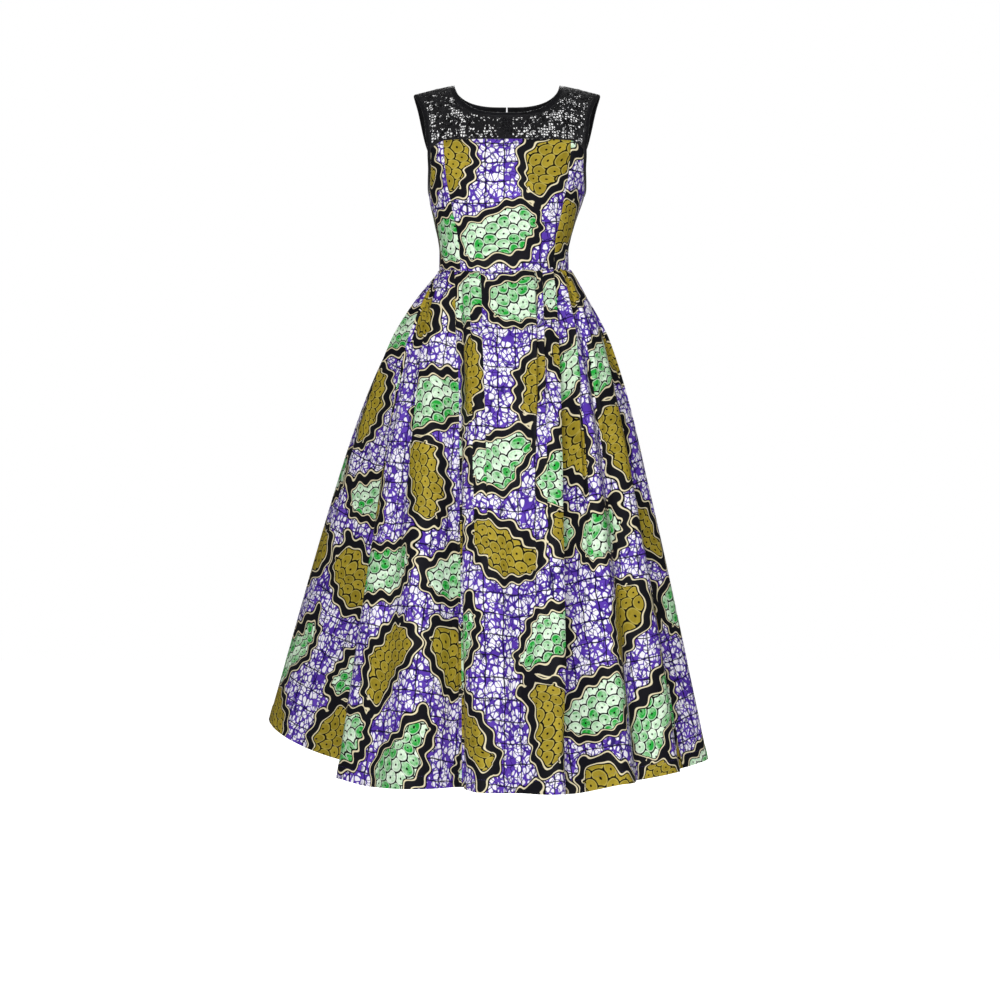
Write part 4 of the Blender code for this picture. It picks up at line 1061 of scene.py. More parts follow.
def lace_field(outline, at):
    """(signed distance to the nearest cut edge, above 0 in the cloth; height of the raised cord) at points."""
    border = np.where(inside(outline, at), 1, -1) * distance_to(outline, at)
    gap, solid, line = np.full((3, len(at)), FAR)

    def near_to(heart, reach):
        away = at - heart
        near = np.hypot(*away.T) < reach
        return near, away[near, 0], away[near, 1]

    def motif(near, shape):
        solid[near] = np.minimum(solid[near], shape)
        line[near] = np.minimum(line[near], np.abs(shape))

    for number, (heart, turn) in enumerate(zip(*sprigs(outline))):
        size = SPRIG_SIZE[0] + SPRIG_SIZE[1] * float(chance(number, 3, 5))
        near, x, y = near_to(heart, SPRIG_PITCH)
        for petal in range(SPRIG_PETALS):
            if chance(number, petal, 6) < PETAL_MISSING:
                continue
            spin = turn + petal * 2 * math.pi / SPRIG_PETALS
            shape = oval(x, y, spin, SPRIG_RADIUS, size * PETAL_LENGTH / 2, size * PETAL_WIDTH / 2)
            gap[near] = np.minimum(gap[near], shape)
    hearts = lattice(outline, FLOWER_PITCH) + (FLOWER_PITCH / 2, SPRIG_START)
    for number, heart in enumerate(hearts):
        turn = 2 * math.pi * float(chance(number, 1, 7))
        size = FLOWER_SIZE[0] + FLOWER_SIZE[1] * float(chance(number, 2, 8))
        nudge = (np.array([chance(number, 3, 9), chance(number, 4, 9)]) - 0.5) * FLOWER_NUDGE
        near, x, y = near_to(heart + nudge, FLOWER_FIELD)
        for petal in range(FLOWER_PETALS):
            spin = turn + petal * 2 * math.pi / FLOWER_PETALS
            motif(near, oval(x, y, spin, size * FLOWER_REACH, size * FLOWER_PETAL[0], size * FLOWER_PETAL[1]))
            if petal % 2 == 0:
                motif(near, oval(x, y, spin + LEAF_TURN, size * LEAF_OUT, size * LEAF[0], size * LEAF[1]))
        motif(near, np.hypot(x, y) - size * FLOWER_HEART)
    holes = np.maximum(net(at), -solid)
    cut_out = np.maximum(gap, -solid - MOTIF_EDGE)
    field = np.minimum.reduce([border, cut_out, np.maximum(holes, LACE_MARGIN - border)])
    cord = np.exp(-((line / CORD_WIDTH) ** 2))
    return field, cord * np.clip(field, 0, 1)


def cut_cells(field, xs, ys):
    """Faces over the part of a grid where field is above 0, with its edge worked out between grid points."""
    columns = len(ys)
    points, number, faces = [], {}, []

    def grid_point(i, j):
        if (i, j) not in number:
            number[(i, j)] = len(points)
            points.append((xs[i], ys[j]))
        return number[(i, j)]

    def edge_point(a, b):
        key = (a, b) if a < b else (b, a)
        if key not in number:
            (i, j), (k, m) = key
            share = field[i, j] / (field[i, j] - field[k, m])
            share = min(max(share, LACE_CORNER), 1 - LACE_CORNER)
            number[key] = len(points)
            points.append((xs[i] + (xs[k] - xs[i]) * share, ys[j] + (ys[m] - ys[j]) * share))
        return number[key]

    above = field > 0
    some = above[:-1, :-1] | above[1:, :-1] | above[1:, 1:] | above[:-1, 1:]
    for i, j in zip(*np.nonzero(some)):
        ring = [(i, j), (i + 1, j), (i + 1, j + 1), (i, j + 1)]
        kept = [above[k, m] for k, m in ring]
        if all(kept):
            faces.append(tuple(grid_point(*p) for p in ring))
            continue
        if kept in ([True, False, True, False], [False, True, False, True]):
            for k in range(4):
                if kept[k]:
                    before, here, after = ring[k - 1], ring[k], ring[(k + 1) % 4]
                    faces.append((edge_point(before, here), grid_point(*here), edge_point(here, after)))
            continue
        loop = []
        for k in range(4):
            here, after = ring[k], ring[(k + 1) % 4]
            if kept[k]:
                loop.append(grid_point(*here))
            if kept[k] != kept[(k + 1) % 4]:
                loop.append(edge_point(here, after))
        faces.append(tuple(loop))
    return np.array(points), faces


def lace_yoke(node, side, hand, look):
    outline = yoke_outline(side, hand)
    low, high = outline.min(0) - LACE_CELL, outline.max(0) + LACE_CELL
    xs = np.arange(low[0], high[0] + LACE_CELL, LACE_CELL)
    ys = np.arange(low[1], high[1] + LACE_CELL, LACE_CELL)
    gx, gy = np.meshgrid(xs, ys, indexing="ij")
    field, _ = lace_field(outline, np.column_stack([gx.ravel(), gy.ravel()]))
    flat, faces = cut_cells(field.reshape(gx.shape), xs, ys)
    _, cord = lace_field(outline, flat)

    def surface(x, scaled_turn):
        return yoke_point(side, x, scaled_turn / TURN_SCALE)

    normals = outward_normals(surface, flat[:, 0], flat[:, 1], 0.2, 0.2)
    at = surface(flat[:, 0], flat[:, 1])
    count = len(at)
    lift = (LACE / 2 + CORD_LIFT * cord)[:, None]
    both = np.concatenate([at + normals * lift, at - normals * LACE / 2])
    first, second, third = (both[[f[k] for f in faces]] for k in range(3))
    if (np.cross(second - first, third - first) * normals[[f[0] for f in faces]]).sum() < 0:
        faces = [tuple(reversed(f)) for f in faces]
    border = set()
    for f in faces:
        for i, j in zip(f, f[1:] + f[:1]):
            if (j, i) in border:
                border.remove((j, i))
            else:
                border.add((i, j))
    rim = [(j, i, count + i, count + j) for i, j in sorted(border)]
    lining = [tuple(count + i for i in reversed(f)) for f in faces]
    every = faces + lining + rim
    uvs = np.concatenate([flat, flat])[[i for f in every for i in f]]
    piece = mesh_object("lace_" + node, both, every, uvs * MM, look)
    declare(node)


# Bindings and stitches


def binding(node, edge, sewn, normals, closed, look):
    """A folded strip sewn over an edge: a rounded section carried along it."""
    points = np.array([edge + (sewn - edge) * share + normals * out * BINDING / 2 for share, out in BINDING_SECTION])
    count, along = points.shape[:2]
    lengths = lengths_along(np.concatenate([edge, edge[:1]]) if closed else edge)
    turns = lengths_along(np.concatenate([points[:, 0], points[:1, 0]]))
    loops = []
    for k in range(count):
        for c in range(along if closed else along - 1):
            ring = ((k, c), (k, c + 1), (k + 1, c + 1), (k + 1, c))
            loops.append([(i % count * along + j % along, (lengths[j], turns[i])) for i, j in ring])
    if not closed:
        for c in (0, along - 1):
            cap = [(k * along + c, (lengths[c] + 0.1 * s, 0.1 * o)) for k, (s, o) in enumerate(BINDING_SECTION)]
            loops.append(cap if c == 0 else cap[::-1])
    flat = points.reshape(-1, 3)
    a, b, _, d = (flat[i] for i, _ in loops[0])
    if np.cross(b - a, d - a) @ (points[:, 0].mean(0) - a) > 0:
        loops = [loop[::-1] for loop in loops]
    faces = [[i for i, _ in loop] for loop in loops]
    uvs = np.array([uv for loop in loops for _, uv in loop])
    piece = mesh_object(node + "_strip", flat, faces, uvs * MM, look, 60)
    declare(node)


def tube(rings, sides, points, centre):
    """Faces of a closed tube through rings of points, wound to look away from the centre of its first ring."""
    faces = []
    for low in range(0, (rings - 1) * sides, sides):
        for k in range(sides):
            n = (k + 1) % sides
            faces.append((low + k, low + n, low + sides + n, low + sides + k))
    faces += [tuple(reversed(range(sides))), tuple(range((rings - 1) * sides, rings * sides))]
    a, b, _, d = points[list(faces[0])]
    inwards = np.cross(b - a, d - a) @ (a - centre) < 0
    return [face[::-1] for face in faces] if inwards else faces


def stitches(name, line, normals, look, stitch=STITCH, closed=False):
    """A row of sewn stitches, each a small rounded thread lying along a line."""
    pitch, length, radius = stitch
    if closed:
        line, normals = np.concatenate([line, line[:1]]), np.concatenate([normals, normals[:1]])
    run = lengths_along(line)
    at = np.arange(pitch / 2, run[-1], pitch)
    centre = at_lengths(at, run, line)
    along = unit(at_lengths(at + 0.5, run, line) - centre)
    lean = unit(at_lengths(at, run, normals))
    local = []
    for share, size in STITCH_RINGS:
        for k in range(STITCH_SIDES):
            angle = 2 * math.pi * k / STITCH_SIDES
            wide, high = radius * size * math.cos(angle), radius * size * math.sin(angle) * STITCH_FLATNESS
            local.append((share * length, wide, high))
    local = np.array(local)
    points = centre[:, None] + local @ np.stack([along, np.cross(along, lean), lean], axis=1)
    one = tube(len(STITCH_RINGS), STITCH_SIDES, local, local[0] * (1, 0, 0))
    faces = [tuple(i + s * len(local) for i in f) for s in range(len(at)) for f in one]
    uvs = np.tile(local[[i for f in one for i in f], :2], (len(at), 1))
    mesh_object(name, points.reshape(-1, 3), faces, uvs * MM, look, 80)


# Skirt


def skirt_columns():
    """Waist angles of all columns: even steps, with more beside each pleat edge and each seam."""
    fixed = set()
    for at, faces in PLEATS:
        fixed |= {round(at - faces * step, 4) for step in PLEAT_STEPS}
    for at, faces, _, _, _ in TUCKS:
        fixed = {a for a in fixed if not TUCK_CLEAR[0] < abs(a - at) < TUCK_CLEAR[1]}
        fixed |= {round(at + step, 4) for step in TUCK_STEPS}
    seams = [start for _, start, _ in GORES] + [GORES[-1][2]]
    for at in seams:
        fixed |= {round(at + step, 4) for step in GORE_STEPS if abs(at + step) <= 180}
    fixed = np.array(sorted(fixed))
    even = np.arange(-180, 180.01, COLUMN_STEP)
    even = [a for a in even if np.abs(fixed - a).min() > COLUMN_CLEAR]
    return np.array(sorted(set(fixed) | set(even)))


def skirt_creases(angles, downs, points):
    radius = np.hypot(points[..., 0], points[..., 1])
    total = np.zeros(radius.shape)
    for a0, d0, a1, d1, width, deep in SKIRT_CREASES:
        along = np.clip((downs - d0) / (d1 - d0), 0, 1)[:, None]
        line = a0 + (a1 - a0) * along
        away = (angles[None, :] - line + 180) % 360 - 180
        gap = np.radians(away) * radius
        bow = np.sin(math.pi * (CREASE_START + (1 - CREASE_START) * along)) ** SKIRT_CREASE_POWER
        swell = np.where(along >= 1, 0, bow)
        fade = np.where(along <= 0, CREASE_AT_SEAM if d0 == 0 else 0, swell)
        total += deep * np.exp(-((gap / width) ** 2)) * fade

    def beyond(at, faces):
        away = ((angles - at) * faces + 180) % 360 - 180
        return np.radians(away)[None, :] * radius

    for at, faces, top, low, height in TUCKS:
        gap = beyond(at, faces)
        fade = np.clip((downs - top) / TUCK_FADE, 0, 1) * np.clip((low - downs) / TUCK_FADE, 0, 1)
        rise, hollow = np.exp(gap / TUCK_RISE), -TUCK_HOLLOW_SHARE * np.exp(-gap / TUCK_HOLLOW)
        total += height * np.where(gap < 0, rise, hollow) * fade[:, None]
    for at, faces in PLEATS:
        gap = beyond(at + faces * PLEAT_LIP, faces)
        high = pleat_height(downs)[:, None]
        total -= HOLLOW_DEPTH * high * np.exp(-gap / HOLLOW_WIDTH) * (gap >= 0)
    return total


def print_shift(angles, downs):
    """How far the print on each strip is moved sideways by the cloth hidden in the pleats before it."""
    middles = (angles[1:] + angles[:-1]) / 2
    grow = np.clip(1 - downs / PLEAT_END, 0, 1)[:, None]
    shift = np.zeros((len(downs), len(middles)))
    for at, faces in PLEATS:
        cut = at + faces * PLEAT_LIP
        shift += PLEAT_INTAKE * grow * (middles > cut)[None, :]
    return shift


def skirt(look, thread):
    angles = skirt_columns()
    cut = max(column(FOLDS, FOLD_COLUMNS, "length"))
    downs = spread(cut, SKIRT_PITCH)
    points = skirt_grid(angles, downs)
    fall = run_length(points, 0)
    amount = skirt_creases(angles, downs, points)
    run = run_length(points, 1)
    seam_gap = np.full(run.shape, 1e3)
    for _, start, _ in GORES:
        k = int(np.argmin(np.abs(angles - start)))
        seam_gap = np.minimum(seam_gap, np.abs(run - run[:, k : k + 1]))
    seam_gap = np.minimum(seam_gap, np.abs(run[:, -1:] - run))
    to_hem = fall[-1:] - fall
    turned_hem = HEM_STEP * np.clip((HEM_WIDTH - to_hem) / HEM_RAMP, 0, 1)
    amount += seam_press(seam_gap, fall) + turned_hem
    shaped = pushed(points, amount, closed=True)
    shift = print_shift(angles, downs)
    shaped_run = run_length(shaped, 1)
    thick = COTTON + 2 * turned_hem
    for name, start, end in GORES:
        chosen = np.where((angles >= start - 1e-6) & (angles <= end + 1e-6))[0]
        first, last = chosen[0], chosen[-1]
        panel = shaped[:, chosen].copy()
        for edge, beside in ((0, 1), (-1, -2)):
            panel[:, edge] += unit(panel[:, beside] - panel[:, edge]) * PANEL_INSET
        middle = (first + last) // 2
        u = shaped_run[:, chosen] - shaped_run[:, middle : middle + 1]
        own = shift[:, first:last] - shift[:, middle : middle + 1]
        uv = np.stack([u + GORE_PRINT[name][0], GORE_PRINT[name][1] - fall[:, chosen]], axis=-1)
        piece = shell("cloth_" + name, panel, thick[:, chosen], uv, look, strip_shift=own)
        declare(name)
    row = int(np.argmin(np.abs(to_hem[:, len(angles) // 2] - (HEM_WIDTH - HEM_STITCH_UP))))
    normals = grid_normals(shaped, closed=True)[row]
    line = shaped[row] + normals * thick[row][:, None] / 2
    stitches("hem_stitches", line[:-1], normals[:-1], thread, HEM_STITCH, closed=True)


# Materials


def rgb(text):
    """A colour written as in a colour picker, as the light values that the shader works in."""
    parts = [int(text[k : k + 2], 16) / 255 for k in (1, 3, 5)]
    return tuple(p / 12.92 if p <= 0.04045 else ((p + 0.055) / 1.055) ** 2.4 for p in parts) + (1.0,)


def operator(name):
    return lambda self, other: self.graph.math(name, self, other)


class Value:
    """A number that is worked out by nodes at each point of the surface."""

    __add__, __sub__, __mul__ = operator("ADD"), operator("SUBTRACT"), operator("MULTIPLY")
    __truediv__, __lt__ = operator("DIVIDE"), operator("LESS_THAN")

    def __init__(self, graph, socket):
        self.graph, self.socket = graph, socket


class Graph:
    """Short names for the nodes of one material."""

    MIX_SOCKETS = {"FLOAT": (2, 0), "VECTOR": (4, 1), "RGBA": (6, 2)}

    def __init__(self, name):
        self.material = bpy.data.materials.new(name)
        self.material.use_nodes = True
        self.tree = self.material.node_tree

    def node(self, kind, inputs=(), **settings):
        """A node with these settings, and with values or links for the inputs that are named or numbered."""
        made = self.tree.nodes.new(kind)
        for key, value in settings.items():
            setattr(made, key, value)
        for key, source in dict(inputs).items():
            self.link(source, made.inputs[key])
        return made

    def link(self, source, socket):
        if isinstance(source, Value):
            source = source.socket
        if isinstance(source, bpy.types.NodeSocket):
            self.tree.links.new(source, socket)
        else:
            socket.default_value = source

    def math(self, operation, *values):
        return Value(self, self.node("ShaderNodeMath", enumerate(values), operation=operation).outputs[0])

    def map(self, value, low, high, to_low=0.0, to_high=1.0):
        inputs = {"Value": value, "From Min": low, "From Max": high, "To Min": to_low, "To Max": to_high}
        return Value(self, self.node("ShaderNodeMapRange", inputs).outputs[0])

    def vector(self, x, y, z=0.0):
        return self.node("ShaderNodeCombineXYZ", enumerate((x, y, z))).outputs[0]

    def split(self, vector):
        return [Value(self, socket) for socket in self.node("ShaderNodeSeparateXYZ", {0: vector}).outputs]

    def mix(self, share, first, second, kind="RGBA"):
        first, second = (rgb(item) if isinstance(item, str) else item for item in (first, second))
        at, out = self.MIX_SOCKETS[kind]
        made = self.node("ShaderNodeMix", {"Factor": share, at: first, at + 1: second}, data_type=kind)
        return made.outputs[out]

    def noise(self, vector, scale, detail=2.0, roughness=0.5, output="Fac"):
        inputs = {"Vector": vector, "Scale": scale, "Detail": detail, "Roughness": roughness}
        return Value(self, self.node("ShaderNodeTexNoise", inputs).outputs[output])

    def cells(self, vector, feature, scale=1.0):
        made = self.node("ShaderNodeTexVoronoi", {"Vector": vector, "Scale": scale}, feature=feature)
        return Value(self, made.outputs["Distance"])

    def bump(self, height, distance, strength):
        inputs = {"Height": height, "Distance": distance, "Strength": strength}
        return self.node("ShaderNodeBump", inputs).outputs[0]

    def cloth_map(self):
        """Places on the cloth in millimetres."""
        uv = self.node("ShaderNodeUVMap", uv_map="cloth").outputs[0]
        return self.node("ShaderNodeVectorMath", {0: uv, "Scale": 1 / MM}, operation="SCALE").outputs[0]

    def finished(self, inputs):
        """The material, with these values and links on its shader."""
        for key, source in inputs.items():
            self.link(source, self.tree.nodes["Principled BSDF"].inputs[key])
        return self.material


def moved(graph, vector, scale, detail, amount):
    """A place on the cloth, moved about by noise by up to half of amount."""
    noise = graph.noise(vector, scale, detail, output="Color")
    centred = graph.node("ShaderNodeVectorMath", {0: noise, 1: (0.5, 0.5, 0.5)}, operation="SUBTRACT").outputs[0]
    inputs = {0: centred, 1: (amount, amount, 0), 2: vector}
    return graph.node("ShaderNodeVectorMath", inputs, operation="MULTIPLY_ADD").outputs[0]


def islands(graph, px, py):
    """(distance to the nearest island's outline with its tail, the same without, place in that island)."""
    best = outer = spot = None
    for x, y, turn, first, middle, last, step, bow, phase, tail, olive in ISLANDS:
        dy = py - y
        row = graph.math("ROUND", dy / REPEAT[1])
        dy = dy - row * REPEAT[1]
        dx = graph.math("WRAP", px - x - row * REPEAT_SHIFT, REPEAT[0] / 2, -REPEAT[0] / 2)
        cosine, sine = math.cos(math.radians(turn)), math.sin(math.radians(turn))
        along = dx * cosine + dy * sine
        aside = dy * cosine - dx * sine

        def round_gap(centre_x, centre_y, radius):
            away_x, away_y = along - centre_x, aside - centre_y
            return graph.math("SQRT", away_x * away_x + away_y * away_y) - radius

        gap = graph.math("SMOOTH_MIN", round_gap(-step, bow, first), round_gap(0, 0, middle), ROUND_BLEND)
        gap = graph.math("SMOOTH_MIN", gap, round_gap(step, bow, last), ROUND_BLEND)
        half_long, half_wide, centre = step + (first + last) / 2, middle, (last - first) / 2
        lobes = round(2 * math.pi * math.sqrt((half_long**2 + half_wide**2) / 2) / LOBE_PITCH)
        focus = math.sqrt(half_long**2 - half_wide**2)
        lean = (round_gap(centre - focus, 0, 0) - round_gap(centre + focus, 0, 0)) / (2 * focus)
        angle = graph.math("ARCCOSINE", lean) * graph.math("SIGN", aside)
        even = (half_long - half_wide) / (2 * (half_long + half_wide))
        angle = angle - graph.math("SINE", angle * 2.0) * even
        wave = graph.math("SINE", graph.math("MULTIPLY_ADD", angle, float(lobes), phase))
        gap = gap - wave * graph.map(gap, -LOBE_FADE, 0.0, 0.0, LOBE_HEIGHT)
        out = math.radians(tail)
        tail_x, tail_y = step + (last + TAIL_OUT) * math.cos(out), bow + (last + TAIL_OUT) * math.sin(out)
        whole = graph.math("SMOOTH_MIN", gap, round_gap(tail_x, tail_y, TAIL_RADIUS), TAIL_BLEND)
        here = graph.vector(along, aside, float(olive))
        if best is None:
            best, outer, spot = gap, whole, here
        else:
            closer = gap < best
            best = graph.math("MINIMUM", best, gap)
            outer = graph.math("MINIMUM", outer, whole)
            spot = graph.mix(closer, spot, here, "VECTOR")
    return outer, best, spot


def fish_scales(graph, x, y):
    """(distance to the middle of the scale that is on top here, a number that is the scale's own)."""
    upper = graph.math("CEIL", y / SCALE_ROW)
    found = []
    for row in (upper, upper - 1.0):
        stagger = graph.math("FLOORED_MODULO", row, 2.0) * (SCALE_PITCH / 2)
        cell = graph.math("ROUND", (x - stagger) / SCALE_PITCH)
        dx = x - stagger - cell * SCALE_PITCH
        dy = y - row * SCALE_ROW
        away = graph.math("SQRT", dx * dx + dy * dy)
        seed = graph.math("FRACT", graph.math("SINE", cell * 12.99 + row * 78.23) * 437.6)
        found.append((away, seed, dy))
    (top, top_seed, top_y), (low, low_seed, low_y) = found
    covered = top < SCALE_RADIUS

    def choose(first, second):
        return Value(graph, graph.mix(covered, second, first, "FLOAT"))

    return choose(top, low), choose(top_seed, low_seed), choose(top_y, low_y)


def pebbles(g, place):
    """The ground: white pebbles in a violet flood, with fine dark scratches under a wavering grid."""
    loose_x, loose_y, _ = g.split(moved(g, place, *PEBBLE_SWAY))
    loose = g.vector(loose_x / PEBBLE[0], loose_y / PEBBLE[1])
    corner = g.math("MAXIMUM", g.cells(loose, "F1") - 0.4, 0.0)
    depth_in = g.cells(loose, "DISTANCE_TO_EDGE") - corner * 0.34
    flood = g.noise(place, 0.03, 2.0)
    grain = g.noise(place, 0.21, 2.0)
    level = g.map(flood, 0.42, 0.72, 0.0, 0.17) + (grain - 0.5) * 0.16
    white = g.map(depth_in, level, level + 0.05)
    tone = g.noise(place, 0.015, 3.0)
    ground = g.mix(g.map(tone, 0.35, 0.7), VIOLET, VIOLET_LIGHT)
    ground = g.mix(white * g.map(grain, 0.2, 0.45, 0.85, 1.0), ground, WHITE)

    scratched = moved(g, place, *VEIN_SWAY)
    vein = g.cells(scratched, "DISTANCE_TO_EDGE", 1 / VEIN_PITCH) * VEIN_PITCH
    sharp, soft = LINE_BLUR
    ground = g.mix(g.map(vein, VEIN_WIDTH - sharp, VEIN_WIDTH + soft, 0.85, 0.0), ground, VIOLET_DARK)

    gx, gy, _ = g.split(moved(g, place, *GRID_SWAY))
    swelling = g.map(g.noise(place, 0.09, 1.0), 0.3, 0.7, -0.3, 0.35)
    grid = None
    for item, pitch in zip((gx, gy), GRID_PITCH):
        line = g.math("ABSOLUTE", g.math("FRACT", item / pitch) - 0.5) * pitch - swelling
        near = g.map(line, GRID_LINE - sharp, GRID_LINE + soft, 1.0, 0.0)
        grid = near if grid is None else g.math("MAXIMUM", grid, near)
    return g.mix(grid * 0.95, ground, NAVY)


def scale_fill(g, place, spot):
    """The fill of the islands: overlapping scales with a dot in each, green or olive."""
    sx, sy, olive = g.split(spot)
    sx, sy, _ = g.split(moved(g, g.vector(sx, sy), *SCALE_SWAY))
    away, seed, rise = fish_scales(g, sx, sy)
    blotch = g.noise(place, 0.13, 3.0, 0.65)
    low_part = g.map(rise, -11.0, 9.0, 1.0, 0.0)
    strength = seed * 0.42 + blotch * 0.95 + low_part * 0.3
    green = g.mix(g.map(strength, 0.56, 1.06), GREEN_PALE, GREEN)
    ochre = g.mix(g.map(strength, 0.35, 1.2), OLIVE, OLIVE_DARK)
    fill = g.mix(olive, green, ochre)
    inner = SCALE_RADIUS - SCALE_LINE
    rim = g.map(away, inner - 1.9, inner - 1.2) * 0.5
    fill = g.mix(rim, fill, g.mix(olive, GREEN_RIM, OLIVE_RIM))
    fill = g.mix(g.map(away, inner - 0.35, inner + 0.15), fill, INK)
    return g.mix(g.map(away, SCALE_DOT - 0.25, SCALE_DOT + 0.25, 1.0, 0.0), fill, INK)


def wax_print():
    """The printed cotton: scaled islands on a ground of pebbles under a wavering grid."""
    g = Graph("wax_print")
    place = g.cloth_map()
    px, py, _ = g.split(moved(g, place, *ISLAND_SWAY))
    outer, inner, spot = islands(g, px, py)
    bands = (
        (outer, 0.0, INK),
        (outer, OUTER_LINE, CREAM),
        (outer, OUTER_PALE, CHARCOAL),
        (inner, INNER_PALE, CREAM),
        (inner, INNER_LINE, INK),
        (inner, FILL_EDGE, scale_fill(g, place, spot)),
    )
    colour = pebbles(g, place)
    for gap, edge, ink in bands:
        colour = g.mix(g.map(gap, -edge - PRINT_BLUR, -edge + PRINT_BLUR, 1.0, 0.0), colour, ink)

    worn = g.noise(place, 0.012, 3.0)
    shade = g.node("ShaderNodeHueSaturation", {"Color": colour, "Value": g.map(worn, 0.3, 0.7, 0.94, 1.04)})
    wx, wy, _ = g.split(place)
    weave = g.math("SINE", wx * WEAVE) * g.math("SINE", wy * WEAVE)
    creased = g.noise(place, 0.06, 3.0)
    inputs = {
        "Base Color": shade.outputs[0],
        "Normal": g.bump(weave * 0.03 + creased * 1.2, 0.001, 0.35),
        "Roughness": g.map(worn, 0.3, 0.7, 0.56, 0.7),
        "Specular IOR Level": 0.09,
    }
    return g.finished(inputs)


def plain_cloth(name, colour, light, roughness, weave_pitch, sheen, height):
    """A plain dyed cloth with its weave, a little fibre and uneven depth of colour."""
    g = Graph(name)
    place = g.cloth_map()
    tone = g.noise(place, 0.09, 3.0)
    fibre = g.noise(place, 1.4, 2.0)
    x, y, _ = g.split(place)
    turned = 2 * math.pi / weave_pitch
    weave = g.math("SINE", (x + y) * turned) * g.math("SINE", (x - y) * turned)
    inputs = {
        "Base Color": g.mix(g.map(tone + fibre * 0.4, 0.5, 0.95), colour, light),
        "Normal": g.bump(weave * 0.5 + fibre, 0.0004, height),
        "Roughness": g.map(tone, 0.3, 0.7, roughness - 0.06, roughness + 0.06),
        "Sheen Weight": sheen,
        "Sheen Roughness": 0.35,
        "Specular IOR Level": 0.22,
    }
    return g.finished(inputs)


def painted_metal():
    """Black enamel on the zip's slider and pull, rubbed a little where it is handled."""
    g = Graph("black_enamel")
    place = g.node("ShaderNodeTexCoord").outputs["Object"]
    scratch = g.noise(place, 900.0, 4.0, 0.65)
    rub = g.map(g.noise(place, 260.0, 2.0), 0.5, 0.72)
    inputs = {
        "Base Color": g.mix(rub * 0.35, *ENAMEL),
        "Roughness": g.map(scratch, 0.3, 0.7, 0.24, 0.42),
        "Normal": g.bump(scratch, 0.0001, 0.2),
        "Metallic": 0.75,
    }
    return g.finished(inputs)


# Zip


def zip_centre():
    """Points down the inside of the zip tape's middle, and the direction towards the wearer at each."""
    top = neck_turn("back") + (NECK_BINDING + 2 * SEAM_GAP) / TURN_SCALE
    low = float(turn_at(0.0, YOKE_SEAM["back"]))
    yoke = yoke_point("back", 0.0, np.linspace(top, low, ZIP_STEPS[0]))
    bodice = torso_point("back", 0.0, np.linspace(YOKE_SEAM["back"], WAIST_Z, ZIP_STEPS[1])[1:])
    skirt_line = skirt_grid(np.array([180.0]), np.linspace(0, ZIP_BELOW_WAIST, ZIP_STEPS[2])[1:])[:, 0]
    line = np.concatenate([yoke, bodice, skirt_line])
    line[:, 0] = 0
    inward = np.cross(unit(np.gradient(line, axis=0)), [1.0, 0, 0])
    inward *= np.sign(-inward[:, 1:2])
    return line + inward * (COTTON_WALL / 2 + TAPE_GAP + TAPE), inward


def zip_coil(look):
    """The interlocked coil on the inside of the tape, as one wound thread."""
    line, inward = zip_centre()
    run = lengths_along(line)
    at = np.linspace(COIL_END, run[-1] - COIL_END, int(run[-1] / COIL_PITCH) * COIL_STEPS)
    angle = 2 * math.pi * np.arange(len(at)) / COIL_STEPS
    inwards = at_lengths(at, run, inward)
    half_wide, half_deep = COIL_HALF
    centre = (
        at_lengths(at, run, line)
        + np.outer(np.cos(angle) * half_wide, (1, 0, 0))
        + inwards * (half_deep + COIL_WIRE + COIL_GAP + half_deep * np.sin(angle))[:, None]
    )
    tangent = unit(np.gradient(centre, axis=0))
    aside = unit(np.cross(tangent, inwards))
    up = np.cross(aside, tangent)
    spokes = [2 * math.pi * k / COIL_SIDES for k in range(COIL_SIDES)]
    points = np.stack([centre + COIL_WIRE * (aside * math.cos(a) + up * math.sin(a)) for a in spokes], axis=1)
    flat = points.reshape(-1, 3)
    faces = tube(len(at), COIL_SIDES, flat, centre[0])
    uvs = flat[[i for f in faces for i in f]][:, [0, 2]]
    mesh_object("zip_coil", flat, faces, uvs * MM, look, 80)


# Bodice


def bodice(look):
    for hand, word in ((-1, "left"), (1, "right")):
        for side in OUT:
            side_panel(f"bodice_side_{side}_{word}", side, hand, SIDE_PRINT[side][word], look)

    def edge(side, sign):
        return lambda z: sign * princess[side](z)

    def zip_side(sign):
        return lambda z: sign * SEAM_GAP / 2

    centre_panel("bodice_front", "front", edge("front", -1), edge("front", 1), (470.0, 300.0), look)
    centre_panel("bodice_back_left", "back", edge("back", -1), zip_side(-1), (150.0, 60.0), look)
    centre_panel("bodice_back_right", "back", zip_side(1), edge("back", 1), (150.0, 60.0), look)


def stitch_line(edge, sewn, normals):
    share, out = BINDING_STITCH
    return edge + (sewn - edge) * share + normals * BINDING * out


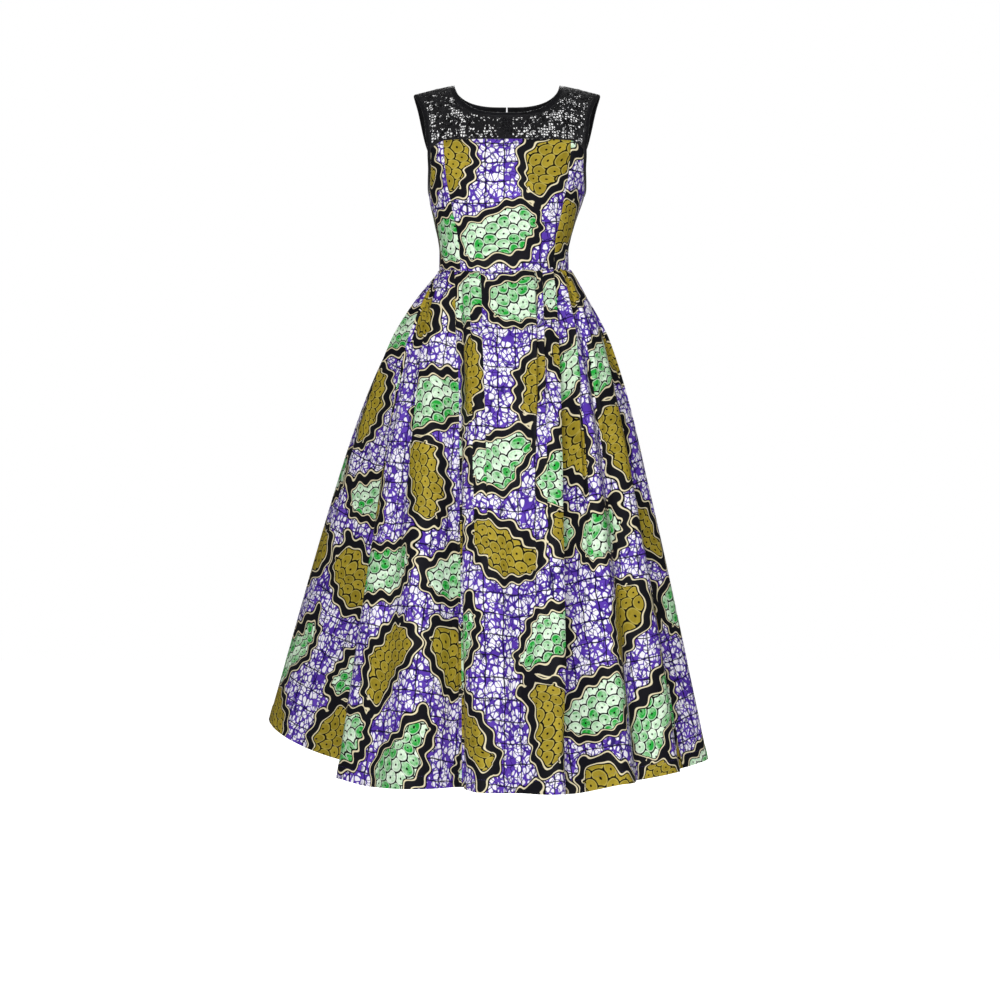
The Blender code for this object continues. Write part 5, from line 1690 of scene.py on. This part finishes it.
def bindings(look, thread):
    for hand, word in ((-1, "left"), (1, "right")):
        edge, normals = armhole_line(hand, 0.0)
        sewn, _ = armhole_line(hand, ARMHOLE_BINDING)
        binding(f"armhole_binding_{word}", edge, sewn, normals, True, look)
        line = stitch_line(edge, sewn, normals)
        stitches(f"armhole_stitches_{word}", line, normals, thread, closed=True)
    parts = {}
    for inset in (0.0, NECK_BINDING):
        points, leans = [], []
        for side in ("back", "front"):
            line = neck_line(side, inset, NECK_POINTS)

            def surface(x, turn, side=side):
                return yoke_point(side, x, turn)

            points.append(surface(line[:, 0], line[:, 1]))
            leans.append(outward_normals(surface, line[:, 0], line[:, 1], 0.2, 0.002))
        middle = NECK_POINTS // 2
        whole = [
            np.concatenate([back[:middle][::-1], front[1:-1], back[middle + 1 :][::-1]])
            for back, front in (points, leans)
        ]
        whole[0][0, 0], whole[0][-1, 0] = ZIP_MOUTH, -ZIP_MOUTH
        parts[inset] = whole
    edge, normals = parts[0.0]
    sewn, _ = parts[NECK_BINDING]
    binding("neck_binding", edge, sewn, normals, False, look)
    stitches("neck_stitches", stitch_line(edge, sewn, normals), normals, thread)


def stage():
    bpy.ops.mesh.primitive_plane_add(size=FLOOR_SIDE, location=(0, 0, FLOOR_Z))
    floor = bpy.context.object
    floor.name = "floor"
    g = Graph("pale_floor")
    place = g.node("ShaderNodeTexCoord").outputs["Object"]
    seen = Value(g, g.node("ShaderNodeLightPath").outputs["Is Camera Ray"])
    inputs = {
        "Base Color": g.mix(g.map(g.noise(place, 3.0, 2.0), 0.3, 0.7), *FLOOR_TONES),
        "Roughness": 0.8,
        "Emission Color": (1, 1, 1, 1),
        "Emission Strength": seen * FLOOR_GLOW,
    }
    floor.data.materials.append(g.finished(inputs))

    world = bpy.data.worlds.new("studio")
    world.use_nodes = True
    bpy.context.scene.world = world
    tree = world.node_tree
    background = tree.nodes["Background"]
    path = tree.nodes.new("ShaderNodeLightPath")
    strength = tree.nodes.new("ShaderNodeMix")
    strength.data_type = "FLOAT"
    strength.inputs[2].default_value = AMBIENT
    strength.inputs[3].default_value = BACKDROP
    tree.links.new(path.outputs["Is Camera Ray"], strength.inputs[0])
    tree.links.new(strength.outputs[0], background.inputs["Strength"])
    background.inputs["Color"].default_value = (1, 1, 1, 1)

    for name, at, aim, side, watts in LIGHTS:
        lamp = bpy.data.lights.new(name, "AREA")
        lamp.shape = "SQUARE"
        lamp.size = side
        lamp.energy = watts
        holder = bpy.data.objects.new(name, lamp)
        holder.location = at
        holder.rotation_euler = (Vector(aim) - Vector(at)).to_track_quat("-Z", "Y").to_euler()
        bpy.context.scene.collection.objects.link(holder)

    camera = bpy.data.objects.new("camera", bpy.data.cameras.new("camera"))
    camera.location = EYE
    camera.rotation_euler = (math.pi / 2, 0, 0)
    camera.data.lens = LENS
    camera.data.sensor_width = SENSOR
    bpy.context.scene.collection.objects.link(camera)
    bpy.context.scene.camera = camera
    bpy.context.scene.view_settings.view_transform = "Standard"


def main():
    stage()
    cotton = wax_print()
    lace = plain_cloth("black_lace", "#08080A", "#1C1C20", 0.62, 0.8, 0.25, 0.5)
    strip = plain_cloth("black_binding", "#08080A", "#17171B", 0.42, 0.6, 0.2, 0.2)
    tape = plain_cloth("black_tape", "#09090B", "#1D1D22", 0.6, 1.0, 0.15, 0.5)
    thread = plain_cloth("black_thread", "#0B0B0E", "#26262C", 0.5, 0.5, 0.2, 0.2)
    hem_thread = plain_cloth("violet_thread", "#2A1668", "#4A30A0", 0.5, 0.5, 0.2, 0.2)
    enamel = painted_metal()

    bodice(cotton)
    skirt(cotton, hem_thread)
    lace_yoke("yoke_front", "front", 0, lace)
    lace_yoke("yoke_back_left", "back", -1, lace)
    lace_yoke("yoke_back_right", "back", 1, lace)
    bindings(strip, thread)
    zip_coil(thread)
    for name, look in (("zip_tape", tape), ("zip_slider", enamel), ("zip_pull", enamel)):
        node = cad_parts[name]
        node.data.materials.clear()
        node.data.materials.append(look)


main()
